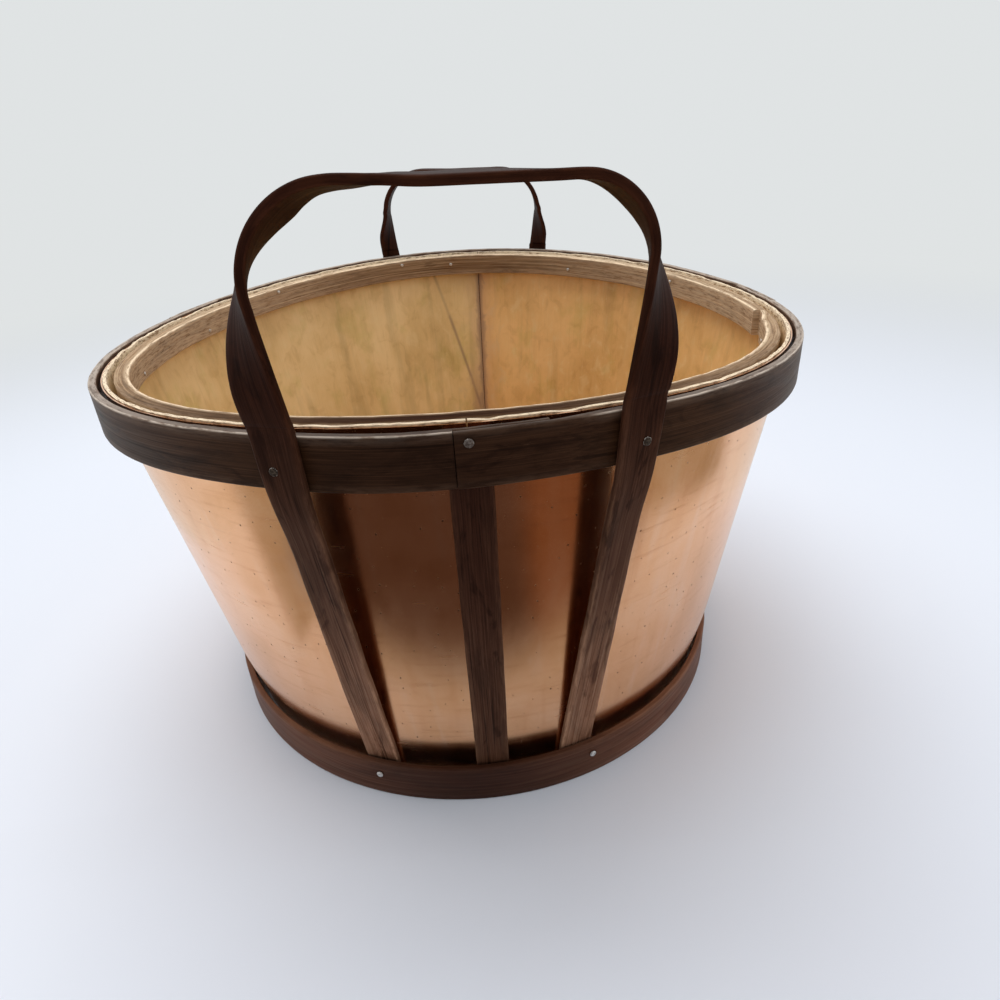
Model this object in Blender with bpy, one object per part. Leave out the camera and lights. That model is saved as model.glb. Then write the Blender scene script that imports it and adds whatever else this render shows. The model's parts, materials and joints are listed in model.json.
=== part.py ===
"""Copper-clad bentwood harvest basket.

A round tapered basket: wood veneer lining and copper sheet in two halves each, a batten over each seam,
bent wooden hoops round the rim (outside and inside) and round the base, a floor board, two bent strip
handles and the nails that hold them. Metres, +Z up, floor at Z = 0, front at -Y.

Places round the basket are given as a bearing in degrees: 0 is the front (-Y), 90 the right side (+X),
180 the back (+Y).
"""
import math

import bmesh
import bpy
from mathutils import Vector

MM = 0.001

# Overall shape
RIM_RADIUS = 217.0 * MM
RIM_HEIGHT = 257.0 * MM
RIM_SADDLE = 12.0 * MM
BASE_RADIUS = 180.7 * MM

# Clearance between touching pieces
FIT_GAP = 0.3 * MM

# Wall: the copper's outside is an ellipse, a little flatter where staves and legs lie on it.
# It is pinched at the foot by the bottom hoop and swells out above it, up to the shoulder.
WALL_PINCH_HEIGHT = 27.0 * MM
WALL_SHOULDER_HEIGHT = 44.0 * MM
WALL_SIDE_BASE = BASE_RADIUS - 9.1 * MM
WALL_SIDE_PINCH = BASE_RADIUS - 4.5 * MM
WALL_SIDE_SHOULDER = BASE_RADIUS + 0.9 * MM
WALL_SIDE_TOP = RIM_RADIUS - 3.1 * MM
WALL_FRONT_BASE = BASE_RADIUS - 13.6 * MM
WALL_FRONT_PINCH = BASE_RADIUS - 9.4 * MM
WALL_FRONT_TOP = RIM_RADIUS - 8.8 * MM
WALL_FOOT = 2.0 * MM
WALL_BELOW_RIM = 1.0 * MM
COPPER_THICKNESS = 0.7 * MM
COPPER_BELOW_LINING = 0.8 * MM
VENEER_THICKNESS = 2.2 * MM
SEAM_GAP = 0.7 * MM
FRONT_SEAM_ANGLE = 3.8
BACK_SEAM_ANGLE = 175.0

# Staves over the seams
STAVE_WIDTH = 20.0 * MM
STAVE_THICKNESS = 4.0 * MM
STAVE_FOOT = 3.0 * MM
STAVE_BELOW_RIM = 5.0 * MM

# Rim hoop outside, three strips with half laps
RIM_HOOP_HEIGHT = 25.4 * MM
RIM_HOOP_THICKNESS = 4.2 * MM
LAP_STEP = 1.2 * MM
LAP_FADE_ANGLE = 7.0
LAP_HAIR_ANGLE = 0.02
RIM_LAP_FRONT_ANGLES = (2.3, 12.5)
RIM_LAP_RIGHT_ANGLES = (91.0, 104.0)
RIM_LAP_LEFT_ANGLES = (242.0, 255.0)

RIM_SAG = 1.6 * MM
RIM_SAG_ANGLE = -5.0
RIM_SAG_REACH = 22.0

# Rim hoop inside, one strip with a half lap
INNER_HOOP_HEIGHT = 17.0 * MM
INNER_HOOP_THICKNESS = 8.2 * MM
INNER_HOOP_GAP = 0.6 * MM
INNER_HOOP_BELOW_RIM = 1.6 * MM
INNER_LAP_ANGLES = (86.0, 95.8)

# Bottom hoop, one strip with a half lap at the back
BOTTOM_HOOP_HEIGHT = 26.4 * MM
BOTTOM_HOOP_THICKNESS = 4.0 * MM
BOTTOM_LAP_ANGLES = (222.0, 236.0)

# Floor board
BOARD_UNDERSIDE = 10.0 * MM
BOARD_THICKNESS = 12.7 * MM
BOARD_PLAY = 0.3 * MM

# Handle strip
STRIP_WIDTH = 21.0 * MM
STRIP_THICKNESS = 4.0 * MM
STRIP_FOOT = 5.0 * MM
STRIP_TUCK = 4.0 * MM

# How a leg is turned, narrowed and bowed on its way up: (share of the way from the bottom hoop to the
# rim hoop, degrees that its outer edge turns to the wall, width, shift towards the handle's middle)
LEG_ROWS = (
    (0.0, 0.0, 21.0 * MM, 0.0), (0.25, 2.0, 20.5 * MM, 0.4 * MM), (0.42, 3.0, 20.1 * MM, 0.9 * MM),
    (0.66, 5.0, 19.6 * MM, 1.7 * MM), (0.86, 4.0, 19.0 * MM, 2.5 * MM), (1.0, 0.0, 19.0 * MM, 2.6 * MM),
)

# Nails
NAIL_SHANK = 0.9 * MM
NAIL_HEAD = 2.1 * MM
NAIL_HEAD_HEIGHT = 0.9 * MM
BRAD_SHANK = 0.7 * MM
BRAD_HEAD = 1.3 * MM
BRAD_HEAD_HEIGHT = 0.5 * MM
NAIL_SIDES = 8
TIP_LENGTH = 1.6 * MM
DRILL_LEAD = 2.0 * MM
LEG_NAIL_BELOW_RIM = 16.0 * MM
LAP_NAIL_BELOW_RIM = 6.0 * MM
SIDE_NAIL_BELOW_RIM = 12.7 * MM
FOOT_NAIL_HEIGHT = 17.0 * MM
FOOT_NAIL_DEPTH = 16.0 * MM
BRAD_DEPTH = 13.0 * MM

# Segments round a full turn, and rounding of a strip's edges
TURN_SEGMENTS = 80
STRIP_EDGE = 0.7 * MM


class HandleSize:
    """Sizes of one handle: where its legs are nailed and how its arch rises over the rim."""

    def __init__(self, bearing, rim_angle, foot_angle, foot_drift, rise, tilt, sag, spread_gain, sway,
                 corners, lean, twist, foot_nails, waist):
        self.bearing = bearing
        self.rim_angle = rim_angle
        self.foot_angle = foot_angle
        self.foot_drift = foot_drift
        self.rise = rise
        self.tilt = tilt
        self.sag = sag
        self.spread_gain = spread_gain
        self.sway = sway
        self.corners = corners
        self.lean = lean
        self.twist = twist
        self.foot_nails = foot_nails
        self.waist = waist


FRONT_HANDLE = HandleSize(
    bearing=3.2, rim_angle=20.0, foot_angle=19.6, foot_drift=-2.1,
    rise=89.6 * MM, tilt=1.5 * MM, sag=1.0 * MM, spread_gain=5.5 * MM, sway=0.9 * MM,
    corners=(36.0 * MM, 28.0 * MM), lean=0.17,
    twist=((12.0 * MM, 82.0 * MM, 18.0), (14.0 * MM, 76.0 * MM, 7.0)),
    foot_nails=(0.0, 2.75),
    waist=(20.8 * MM, 12.0 * MM, 0.8 * MM),
)
REAR_HANDLE = HandleSize(
    bearing=178.4, rim_angle=18.6, foot_angle=16.6, foot_drift=0.0,
    rise=68.5 * MM, tilt=-0.9 * MM, sag=0.5 * MM, spread_gain=5.5 * MM, sway=-0.9 * MM,
    corners=(35.0 * MM, 34.0 * MM), lean=0.22,
    twist=((-12.0 * MM, 36.0 * MM, 0.0), (-12.0 * MM, 36.0 * MM, 0.0)),
    foot_nails=(0.0, 0.0),
    waist=(16.0 * MM, 22.0 * MM, 0.0),
)

# Brads that hold the inner hoop: bearing and depth below the rim
BRADS = (
    (35.0, 8.0 * MM), (52.0, 12.0 * MM), (76.0, 13.0 * MM), (120.0, 7.0 * MM),
    (150.0, 12.0 * MM), (182.0, 9.0 * MM), (195.0, 5.5 * MM), (229.0, 5.0 * MM),
    (251.0, 14.0 * MM), (280.0, 14.0 * MM), (312.0, 12.0 * MM), (331.0, 8.0 * MM),
)


def material(name, color, roughness, metallic=0.0):
    """Principled material with one plain colour."""
    result = bpy.data.materials.new(name)
    result.use_nodes = True
    shader = result.node_tree.nodes["Principled BSDF"]
    shader.inputs["Base Color"].default_value = (*color, 1.0)
    shader.inputs["Roughness"].default_value = roughness
    shader.inputs["Metallic"].default_value = metallic
    result.diffuse_color = (*color, 1.0)
    return result


def clear_scene():
    """Start from an empty scene."""
    for old in list(bpy.data.objects):
        bpy.data.objects.remove(old, do_unlink=True)


def add_object(name, mesh_builder, finish):
    """Turn a bmesh into a named object with smooth faces and sharp corners."""
    mesh = bpy.data.meshes.new(name)
    bmesh.ops.recalc_face_normals(mesh_builder, faces=mesh_builder.faces)
    mesh_builder.to_mesh(mesh)
    mesh_builder.free()
    mesh.materials.append(finish)
    mesh.shade_smooth()
    mesh.set_sharp_from_angle(angle=math.radians(35.0))
    result = bpy.data.objects.new(name, mesh)
    bpy.context.scene.collection.objects.link(result)
    return result


def outward(bearing):
    """Horizontal unit vector that points away from the basket's axis at a bearing."""
    angle = math.radians(bearing)
    return Vector((math.sin(angle), -math.cos(angle), 0.0))


def sideways(bearing):
    """Horizontal unit vector along the rim, towards a growing bearing."""
    angle = math.radians(bearing)
    return Vector((math.cos(angle), math.sin(angle), 0.0))


def place(bearing, radius, height):
    """Point at a bearing, a distance from the axis and a height."""
    return outward(bearing) * radius + Vector((0.0, 0.0, height))


def smooth_step(value):
    """Ease from 0 to 1."""
    value = min(max(value, 0.0), 1.0)
    return value * value * (3.0 - 2.0 * value)


def rim_height(bearing):
    """Height of the rim, which dips towards both sides."""
    return RIM_HEIGHT - RIM_SADDLE * math.sin(math.radians(bearing)) ** 2


def along_line(height, points):
    """Radius at a height on a line through (height, radius) points."""
    for (low, first), (high, second) in zip(points, points[1:]):
        if height <= high:
            break
    return first + (second - first) * (height - low) / (high - low)


def wall_outside(bearing, height):
    """Distance from the axis to the copper's outer face."""
    side = along_line(height, (
        (0.0, WALL_SIDE_BASE), (WALL_PINCH_HEIGHT, WALL_SIDE_PINCH),
        (WALL_SHOULDER_HEIGHT, WALL_SIDE_SHOULDER), (RIM_HEIGHT, WALL_SIDE_TOP),
    ))
    front = along_line(height, (
        (0.0, WALL_FRONT_BASE), (WALL_PINCH_HEIGHT, WALL_FRONT_PINCH), (RIM_HEIGHT, WALL_FRONT_TOP),
    ))
    angle = math.radians(bearing)
    return 1.0 / math.hypot(math.sin(angle) / side, math.cos(angle) / front)


def lining_outside(bearing, height):
    """Distance from the axis to the lining's outer face."""
    return wall_outside(bearing, height) - COPPER_THICKNESS - FIT_GAP


def lining_inside(bearing, height):
    """Distance from the axis to the lining's inner face."""
    return lining_outside(bearing, height) - VENEER_THICKNESS


def copper_inside(bearing, height):
    """Inner radius of the copper sheets."""
    return wall_outside(bearing, height) - COPPER_THICKNESS


def angle_of(length, radius):
    """Angle in degrees that a length covers at a radius."""
    return math.degrees(length / radius)


def stations(start, end, extra=()):
    """Bearings from start to end at the common spacing, with extra ones put in."""
    spacing = 360.0 / TURN_SEGMENTS
    count = max(1, round((end - start) / spacing))
    result = [start + (end - start) * i / count for i in range(count + 1)]
    inside = [bearing for bearing in extra if start < bearing < end]
    result = [
        bearing for bearing in result
        if bearing in (start, end) or all(abs(bearing - other) > 0.8 for other in inside)
    ]
    return sorted(result + inside)


def band(name, bearings, section, finish, closed=False):
    """Closed body swept round the basket; section(bearing) lists (radius, height) corners."""
    builder = bmesh.new()
    rings = []
    for bearing in bearings:
        corners = [place(bearing, radius, height) for radius, height in section(bearing)]
        rings.append([builder.verts.new(corner) for corner in corners])
    pairs = list(zip(rings, rings[1:]))
    if closed:
        pairs.append((rings[-1], rings[0]))
    corners = len(rings[0])
    for first, second in pairs:
        for i in range(corners):
            j = (i + 1) % corners
            builder.faces.new((first[i], first[j], second[j], second[i]))
    if not closed:
        builder.faces.new(rings[0])
        builder.faces.new(list(reversed(rings[-1])))
    return add_object(name, builder, finish)


def strip_section(inner, outer, low, high):
    """Corners of a strip's cross-section with its outer edges eased."""
    edge = STRIP_EDGE
    return [
        (inner, low), (outer - edge, low), (outer, low + edge),
        (outer, high - edge), (outer - edge, high), (inner, high),
    ]


def sheet(name, start, end, inside, outside, below_rim, finish):
    """Half of the lining or of the copper: a thin wall from near the floor to the rim."""
    middle = RIM_RADIUS - RIM_HOOP_THICKNESS
    margin = angle_of(SEAM_GAP / 2.0, middle)

    def section(bearing):
        top = rim_height(bearing) - below_rim
        heights = (WALL_FOOT, WALL_PINCH_HEIGHT, WALL_SHOULDER_HEIGHT, top)
        return (
            [(outside(bearing, height), height) for height in heights]
            + [(inside(bearing, height), height) for height in reversed(heights)]
        )

    return band(name, stations(start + margin, end - margin), section, finish)


def stave(name, bearing, finish):
    """Batten over a seam, from the foot of the wall up behind the rim hoop."""
    builder = bmesh.new()
    top = rim_height(bearing) - STAVE_BELOW_RIM
    rows = []
    for height in (STAVE_FOOT, WALL_PINCH_HEIGHT, top):
        inner = wall_outside(bearing, height) + FIT_GAP
        outer = inner + STAVE_THICKNESS
        half = angle_of(STAVE_WIDTH / 2.0, outer)
        eased = angle_of(STRIP_EDGE, outer)
        row = []
        for offset in (-half, 0.0, half):
            row.append(place(bearing + offset, wall_outside(bearing + offset, height) + FIT_GAP, height))
        row.append(place(bearing + half, outer - STRIP_EDGE, height))
        for offset in (half - eased, 0.0, eased - half):
            row.append(place(bearing + offset, outer, height))
        row.append(place(bearing - half, outer - STRIP_EDGE, height))
        rows.append([builder.verts.new(point) for point in row])
    count = len(rows[0])
    for low, high in zip(rows, rows[1:]):
        for i in range(count):
            j = (i + 1) % count
            builder.faces.new((low[i], low[j], high[j], high[i]))
    builder.faces.new(rows[0])
    builder.faces.new(list(reversed(rows[-1])))
    return add_object(name, builder, finish)


def lap_profile(bearing, start, end, laps, thickness, step):
    """How a lapped strip's two faces move at its ends: (inner face, outer face) offsets."""
    inner = 0.0
    outer = 0.0
    for (lap, on_outside), distance in zip(laps, (bearing - start, end - bearing)):
        if on_outside:
            share = 1.0 - smooth_step((distance - lap) / LAP_FADE_ANGLE)
            inner = max(inner, (thickness + step + FIT_GAP) / 2.0 * share)
            outer = max(outer, step * share)
        elif distance < lap + LAP_HAIR_ANGLE / 2.0:
            outer = min(outer, (step - thickness - FIT_GAP) / 2.0)
    return inner, outer


def lapped_band(name, start, end, laps, radii, heights, thickness, step, finish):
    """Strip bent round the basket with a thinned lap at each end.

    laps holds (length, on the outside) for the start and for the end, radii(bearing) gives the inner and
    outer radius of the whole hoop, heights(bearing) its lower and upper edge, and step is how far the
    outer layer of a lap stands out.
    """
    (start_lap, start_outside), (end_lap, end_outside) = laps
    cuts = [
        start + start_lap, start + start_lap + LAP_HAIR_ANGLE,
        end - end_lap, end - end_lap - LAP_HAIR_ANGLE,
    ]
    if start_outside:
        cuts += [start + start_lap + LAP_FADE_ANGLE / 2.0, start + LAP_FADE_ANGLE / 2.0]
    if end_outside:
        cuts += [end - end_lap - LAP_FADE_ANGLE / 2.0, end - LAP_FADE_ANGLE / 2.0]

    def section(bearing):
        inner_radius, outer_radius = radii(bearing)
        low, high = heights(bearing)
        inner, outer = lap_profile(bearing, start, end, laps, thickness, step)
        return strip_section(inner_radius + inner, outer_radius + outer, low, high)

    bearings = stations(start, end, sorted(cuts))
    return band(name, bearings, section, finish)


def rim_hoop_radii(bearing):
    """Inner and outer radius of the rim hoop."""
    return RIM_RADIUS - RIM_HOOP_THICKNESS, RIM_RADIUS


def rim_hoop_heights(bearing):
    """Lower and upper edge of the rim hoop."""
    distance = abs((bearing - RIM_SAG_ANGLE + 180.0) % 360.0 - 180.0)
    top = rim_height(bearing) - RIM_SAG * smooth_step(1.0 - distance / RIM_SAG_REACH)
    return top - RIM_HOOP_HEIGHT, top


def inner_hoop_radii(bearing):
    """Inner and outer radius of the hoop inside the rim, which stands upright."""
    low, high = inner_hoop_heights(bearing)
    outer = lining_inside(bearing, low) - INNER_HOOP_GAP
    return outer - INNER_HOOP_THICKNESS, outer


def inner_hoop_heights(bearing):
    """Lower and upper edge of the hoop inside the rim."""
    top = rim_height(bearing) - INNER_HOOP_BELOW_RIM
    return top - INNER_HOOP_HEIGHT, top


def bottom_hoop_radii(bearing):
    """Inner and outer radius of the bottom hoop."""
    return BASE_RADIUS - BOTTOM_HOOP_THICKNESS, BASE_RADIUS


def bottom_hoop_heights(bearing):
    """Lower and upper edge of the bottom hoop."""
    return 0.0, BOTTOM_HOOP_HEIGHT


def floor_board(name, finish):
    """Round board inside the lining."""
    top = BOARD_UNDERSIDE + BOARD_THICKNESS
    builder = bmesh.new()
    rings = []
    for height in (BOARD_UNDERSIDE, top):
        ring = []
        for i in range(TURN_SEGMENTS):
            bearing = 360.0 * i / TURN_SEGMENTS
            radius = lining_inside(bearing, BOARD_UNDERSIDE) - BOARD_PLAY
            ring.append(builder.verts.new(place(bearing, radius, height)))
        rings.append(ring)
    low, high = rings
    for i in range(TURN_SEGMENTS):
        j = (i + 1) % TURN_SEGMENTS
        builder.faces.new((low[i], low[j], high[j], high[i]))
    builder.faces.new(low)
    builder.faces.new(list(reversed(high)))
    return add_object(name, builder, finish)


def leg_face_radius(bearing, height):
    """Distance from the axis to a leg's inner face below the rim."""
    bend = BOTTOM_HOOP_HEIGHT + STRIP_TUCK
    bend_radius = wall_outside(bearing, bend) + FIT_GAP
    hoop_foot = rim_height(bearing) - RIM_HOOP_HEIGHT - STRIP_TUCK
    hoop_radius = RIM_RADIUS + FIT_GAP
    if height <= bend:
        return wall_outside(bearing, height) + FIT_GAP
    if height >= hoop_foot:
        return hoop_radius
    share = (height - bend) / (hoop_foot - bend)
    return bend_radius + (hoop_radius - bend_radius) * share


def leg_bearing(size, side, height):
    """Bearing of a leg's middle at a height, side -1 or 1."""
    share = min(height / RIM_HEIGHT, 1.0)
    angle = size.foot_angle + (size.rim_angle - size.foot_angle) * share
    drift = size.foot_drift * (1.0 - share)
    return size.bearing + drift + side * angle


def leg_frames(size, side):
    """Guide edge points, width directions and widths of one half of a handle, from the foot to the middle.

    The guide edge is the leg's edge towards the handle's middle, which turns into the arch's outward edge.
    """
    frames = []
    hoop_foot = RIM_HEIGHT - RIM_HOOP_HEIGHT - STRIP_TUCK
    bend = BOTTOM_HOOP_HEIGHT + STRIP_TUCK
    rows = [(STRIP_FOOT, 0.0, STRIP_WIDTH, 0.0)]
    for share, turn, width, bow in LEG_ROWS:
        rows.append((bend + (hoop_foot - bend) * share, turn, width, bow))
    rows.append((RIM_HEIGHT, 0.0, size.waist[0], size.waist[2]))
    for height, turn, width, bow in rows:
        bearing = leg_bearing(size, side, height)
        away = sideways(bearing) * side
        centre = place(bearing, leg_face_radius(bearing, height), height)
        turned_away = away * math.cos(math.radians(turn)) - outward(bearing) * math.sin(math.radians(turn))
        frames.append((centre - away * (STRIP_WIDTH / 2.0 + bow), turned_away, width))
    rim_point, rim_away, rim_width = frames[-1]
    across = sideways(size.bearing)
    out = outward(size.bearing)
    rim_u = rim_point.dot(across)
    rim_v = rim_point.dot(out)
    rim_twist = math.atan2(-rim_away.dot(out), side * rim_away.dot(across))
    middle_height = size.rise - size.sag - STRIP_THICKNESS
    underside = size.rise - side * size.tilt - STRIP_THICKNESS
    radius = size.corners[0 if side < 0.0 else 1] - STRIP_THICKNESS
    shoulder = underside - radius
    shoulder_u = rim_u + side * size.spread_gain + size.sway
    path = []
    risers = 9
    for i in range(1, risers + 1):
        share = i / risers
        path.append((rim_u + (shoulder_u - rim_u) * share, shoulder * share, 0.0, 1.0))
    turns = 7
    for i in range(1, turns + 1):
        angle = math.radians(90.0 * i / turns)
        along = shoulder_u - side * radius * (1.0 - math.cos(angle))
        kept = 1.0 - 0.5 * smooth_step((angle - math.pi / 4.0) / (math.pi / 4.0))
        path.append((along, shoulder + radius * math.sin(angle), angle, kept))
    arch_end = path[-1][0]
    for share in (0.2, 0.5, 0.8):
        height = underside + (middle_height - underside) * smooth_step(share)
        kept = 0.5 - 0.5 * smooth_step(share / 0.7)
        path.append((arch_end + (size.sway - arch_end) * share, height, math.pi / 2.0, kept))
    twist_start, twist_end, twist_past = size.twist[0 if side < 0.0 else 1]
    for along, height, turn, kept in path:
        share = smooth_step((height - twist_start) / (twist_end - twist_start))
        twist = rim_twist + (math.pi / 2.0 + math.radians(twist_past) * kept - rim_twist) * share
        outside = across * side * math.cos(turn) + Vector((0.0, 0.0, math.sin(turn)))
        away = outside * math.cos(twist) - out * math.sin(twist)
        point = across * along + out * (rim_v + size.lean * height) + Vector((0.0, 0.0, RIM_HEIGHT + height))
        fade = smooth_step(height / size.waist[1])
        frames.append((point, away, rim_width + (STRIP_WIDTH - rim_width) * fade))
    return frames


def handle(name, size, finish):
    """Bent strip: two legs, a quarter twist in each, and the arch between them."""
    left = leg_frames(size, -1.0)
    right = leg_frames(size, 1.0)
    frames = left + list(reversed(right))
    points = [point for point, away, width in frames]
    builder = bmesh.new()
    rings = []
    edge = STRIP_EDGE
    for i, (point, away, width) in enumerate(frames):
        outline = (
            (edge, 0.0), (width - edge, 0.0),
            (width, edge), (width, STRIP_THICKNESS - edge),
            (width - edge, STRIP_THICKNESS), (edge, STRIP_THICKNESS),
            (0.0, STRIP_THICKNESS - edge), (0.0, edge),
        )
        ahead = points[min(i + 1, len(points) - 1)]
        behind = points[max(i - 1, 0)]
        tangent = (ahead - behind).normalized()
        across = (away - tangent * away.dot(tangent)).normalized()
        normal = tangent.cross(across)
        rings.append([builder.verts.new(point + across * a + normal * b) for a, b in outline])
    corners = len(outline)
    for first, second in zip(rings, rings[1:]):
        for i in range(corners):
            j = (i + 1) % corners
            builder.faces.new((first[i], first[j], second[j], second[i]))
    builder.faces.new(rings[0])
    builder.faces.new(list(reversed(rings[-1])))
    return add_object(name, builder, finish)


def turned(name, profile, position, axis, finish):
    """Body turned round an axis; profile lists (radius, distance along the axis), first and last on it."""
    builder = bmesh.new()
    side = axis.orthogonal().normalized()
    up = axis.cross(side)
    rings = []
    for radius, along in profile[1:-1]:
        ring = []
        for i in range(NAIL_SIDES):
            angle = 2.0 * math.pi * i / NAIL_SIDES
            spoke = side * math.cos(angle) + up * math.sin(angle)
            ring.append(builder.verts.new(position + axis * along + spoke * radius))
        rings.append(ring)
    first = builder.verts.new(position + axis * profile[0][1])
    last = builder.verts.new(position + axis * profile[-1][1])
    for i in range(NAIL_SIDES):
        j = (i + 1) % NAIL_SIDES
        builder.faces.new((first, rings[0][i], rings[0][j]))
        builder.faces.new((last, rings[-1][j], rings[-1][i]))
        for lower, upper in zip(rings, rings[1:]):
            builder.faces.new((lower[i], upper[i], upper[j], lower[j]))
    return add_object(name, builder, finish)


class Fastener:
    """A nail or brad: where its head sits, which way it is driven and how long it is."""

    def __init__(self, name, seat, axis, length, shank, head, head_height):
        self.name = name
        self.seat = seat
        self.axis = axis
        self.length = length
        self.shank = shank
        self.head = head
        self.head_height = head_height

    def build(self, finish):
        """Domed head, straight shank and a point; the axis runs from the head to the point."""
        head = self.head
        rise = self.head_height
        profile = (
            (0.0, -rise), (head * 0.62, -rise * 0.85), (head, -rise * 0.3), (head * 0.94, 0.0),
            (self.shank, 0.0), (self.shank, self.length - TIP_LENGTH), (0.0, self.length),
        )
        return turned(self.name, profile, self.seat, self.axis, finish)

    def drill(self, name):
        """Cutter for the hole that the shank runs in."""
        radius = self.shank + FIT_GAP
        profile = (
            (0.0, -DRILL_LEAD), (radius, -DRILL_LEAD), (radius, self.length + FIT_GAP),
            (0.0, self.length + FIT_GAP),
        )
        return turned(name, profile, self.seat, self.axis, None)


def nail_from_outside(name, bearing, surface, height, depth):
    """Nail driven towards the axis through a surface at a given distance from it."""
    seat = place(bearing, surface + FIT_GAP, height)
    return Fastener(name, seat, -outward(bearing), depth, NAIL_SHANK, NAIL_HEAD, NAIL_HEAD_HEIGHT)


def brad_from_inside(name, bearing, surface, height, depth):
    """Brad driven outwards from the inner hoop's inner face."""
    seat = place(bearing, surface - FIT_GAP, height)
    return Fastener(name, seat, outward(bearing), depth, BRAD_SHANK, BRAD_HEAD, BRAD_HEAD_HEIGHT)


def all_fasteners():
    """Every nail with the pieces that its shank passes through."""
    result = []
    wall = ["veneer_lining_left", "veneer_lining_right", "copper_sheet_left", "copper_sheet_right"]
    rim_strips = ["rim_hoop_front_left", "rim_hoop_front_right", "rim_hoop_back"]
    rim_pieces = wall + rim_strips + ["rim_hoop_inner"]
    base_pieces = wall + ["bottom_hoop", "bottom_board"]
    through_rim = RIM_HOOP_THICKNESS + INNER_HOOP_THICKNESS + STAVE_THICKNESS

    height = rim_height(FRONT_SEAM_ANGLE) - LAP_NAIL_BELOW_RIM
    surface = RIM_RADIUS + LAP_STEP
    nail = nail_from_outside("rim_lap_nail_front", FRONT_SEAM_ANGLE, surface, height, through_rim)
    result.append((nail, rim_pieces + ["front_stave"]))
    for label, lap in (("right", RIM_LAP_RIGHT_ANGLES), ("left", RIM_LAP_LEFT_ANGLES)):
        bearing = sum(lap) / 2.0
        height = rim_height(bearing) - SIDE_NAIL_BELOW_RIM
        nail = nail_from_outside("rim_lap_nail_" + label, bearing, RIM_RADIUS + LAP_STEP, height, through_rim)
        result.append((nail, rim_pieces))

    for label, size in (("front", FRONT_HANDLE), ("rear", REAR_HANDLE)):
        for side, side_label, offset in zip((-1.0, 1.0), ("a", "b"), size.foot_nails):
            height = RIM_HEIGHT - LEG_NAIL_BELOW_RIM
            bearing = leg_bearing(size, side, height)
            surface = RIM_RADIUS + FIT_GAP + STRIP_THICKNESS
            depth = through_rim + STRIP_THICKNESS
            nail = nail_from_outside("leg_nail_%s_%s" % (label, side_label), bearing, surface, height, depth)
            result.append((nail, rim_pieces + [label + "_handle"]))
            foot_bearing = leg_bearing(size, side, FOOT_NAIL_HEIGHT) + offset
            nail = nail_from_outside(
                "foot_nail_%s_%s" % (label, side_label), foot_bearing, BASE_RADIUS, FOOT_NAIL_HEIGHT,
                FOOT_NAIL_DEPTH,
            )
            result.append((nail, base_pieces + [label + "_handle"]))

    for bearing, label in ((BOTTOM_LAP_ANGLES[0] + 3.0, "a"), (BOTTOM_LAP_ANGLES[1] - 3.0, "b")):
        surface = BASE_RADIUS + LAP_STEP
        nail = nail_from_outside(
            "base_lap_nail_" + label, bearing, surface, FOOT_NAIL_HEIGHT, FOOT_NAIL_DEPTH,
        )
        result.append((nail, base_pieces))

    for i, (bearing, depth_below) in enumerate(BRADS):
        surface = inner_hoop_radii(bearing)[0]
        height = rim_height(bearing) - depth_below
        brad = brad_from_inside("rim_brad_%02d" % (i + 1), bearing, surface, height, BRAD_DEPTH)
        result.append((brad, wall + ["rim_hoop_inner"]))
    return result


def drill_holes(fasteners):
    """Cut each shank's hole in the pieces that it passes through, with one cutter for each piece."""
    cutters = {}
    for fastener, pieces in fasteners:
        for piece in pieces:
            cutters.setdefault(piece, []).append(fastener)
    for piece, members in cutters.items():
        builder = bmesh.new()
        for fastener in members:
            single = fastener.drill("drill")
            builder.from_mesh(single.data)
            bpy.data.objects.remove(single, do_unlink=True)
        cutter = add_object("drill_" + piece, builder, None)
        cutter.hide_render = True
        cutter.display_type = "WIRE"
        boolean = bpy.data.objects[piece].modifiers.new("holes", "BOOLEAN")
        boolean.operation = "DIFFERENCE"
        boolean.solver = "EXACT"
        boolean.object = cutter


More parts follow.
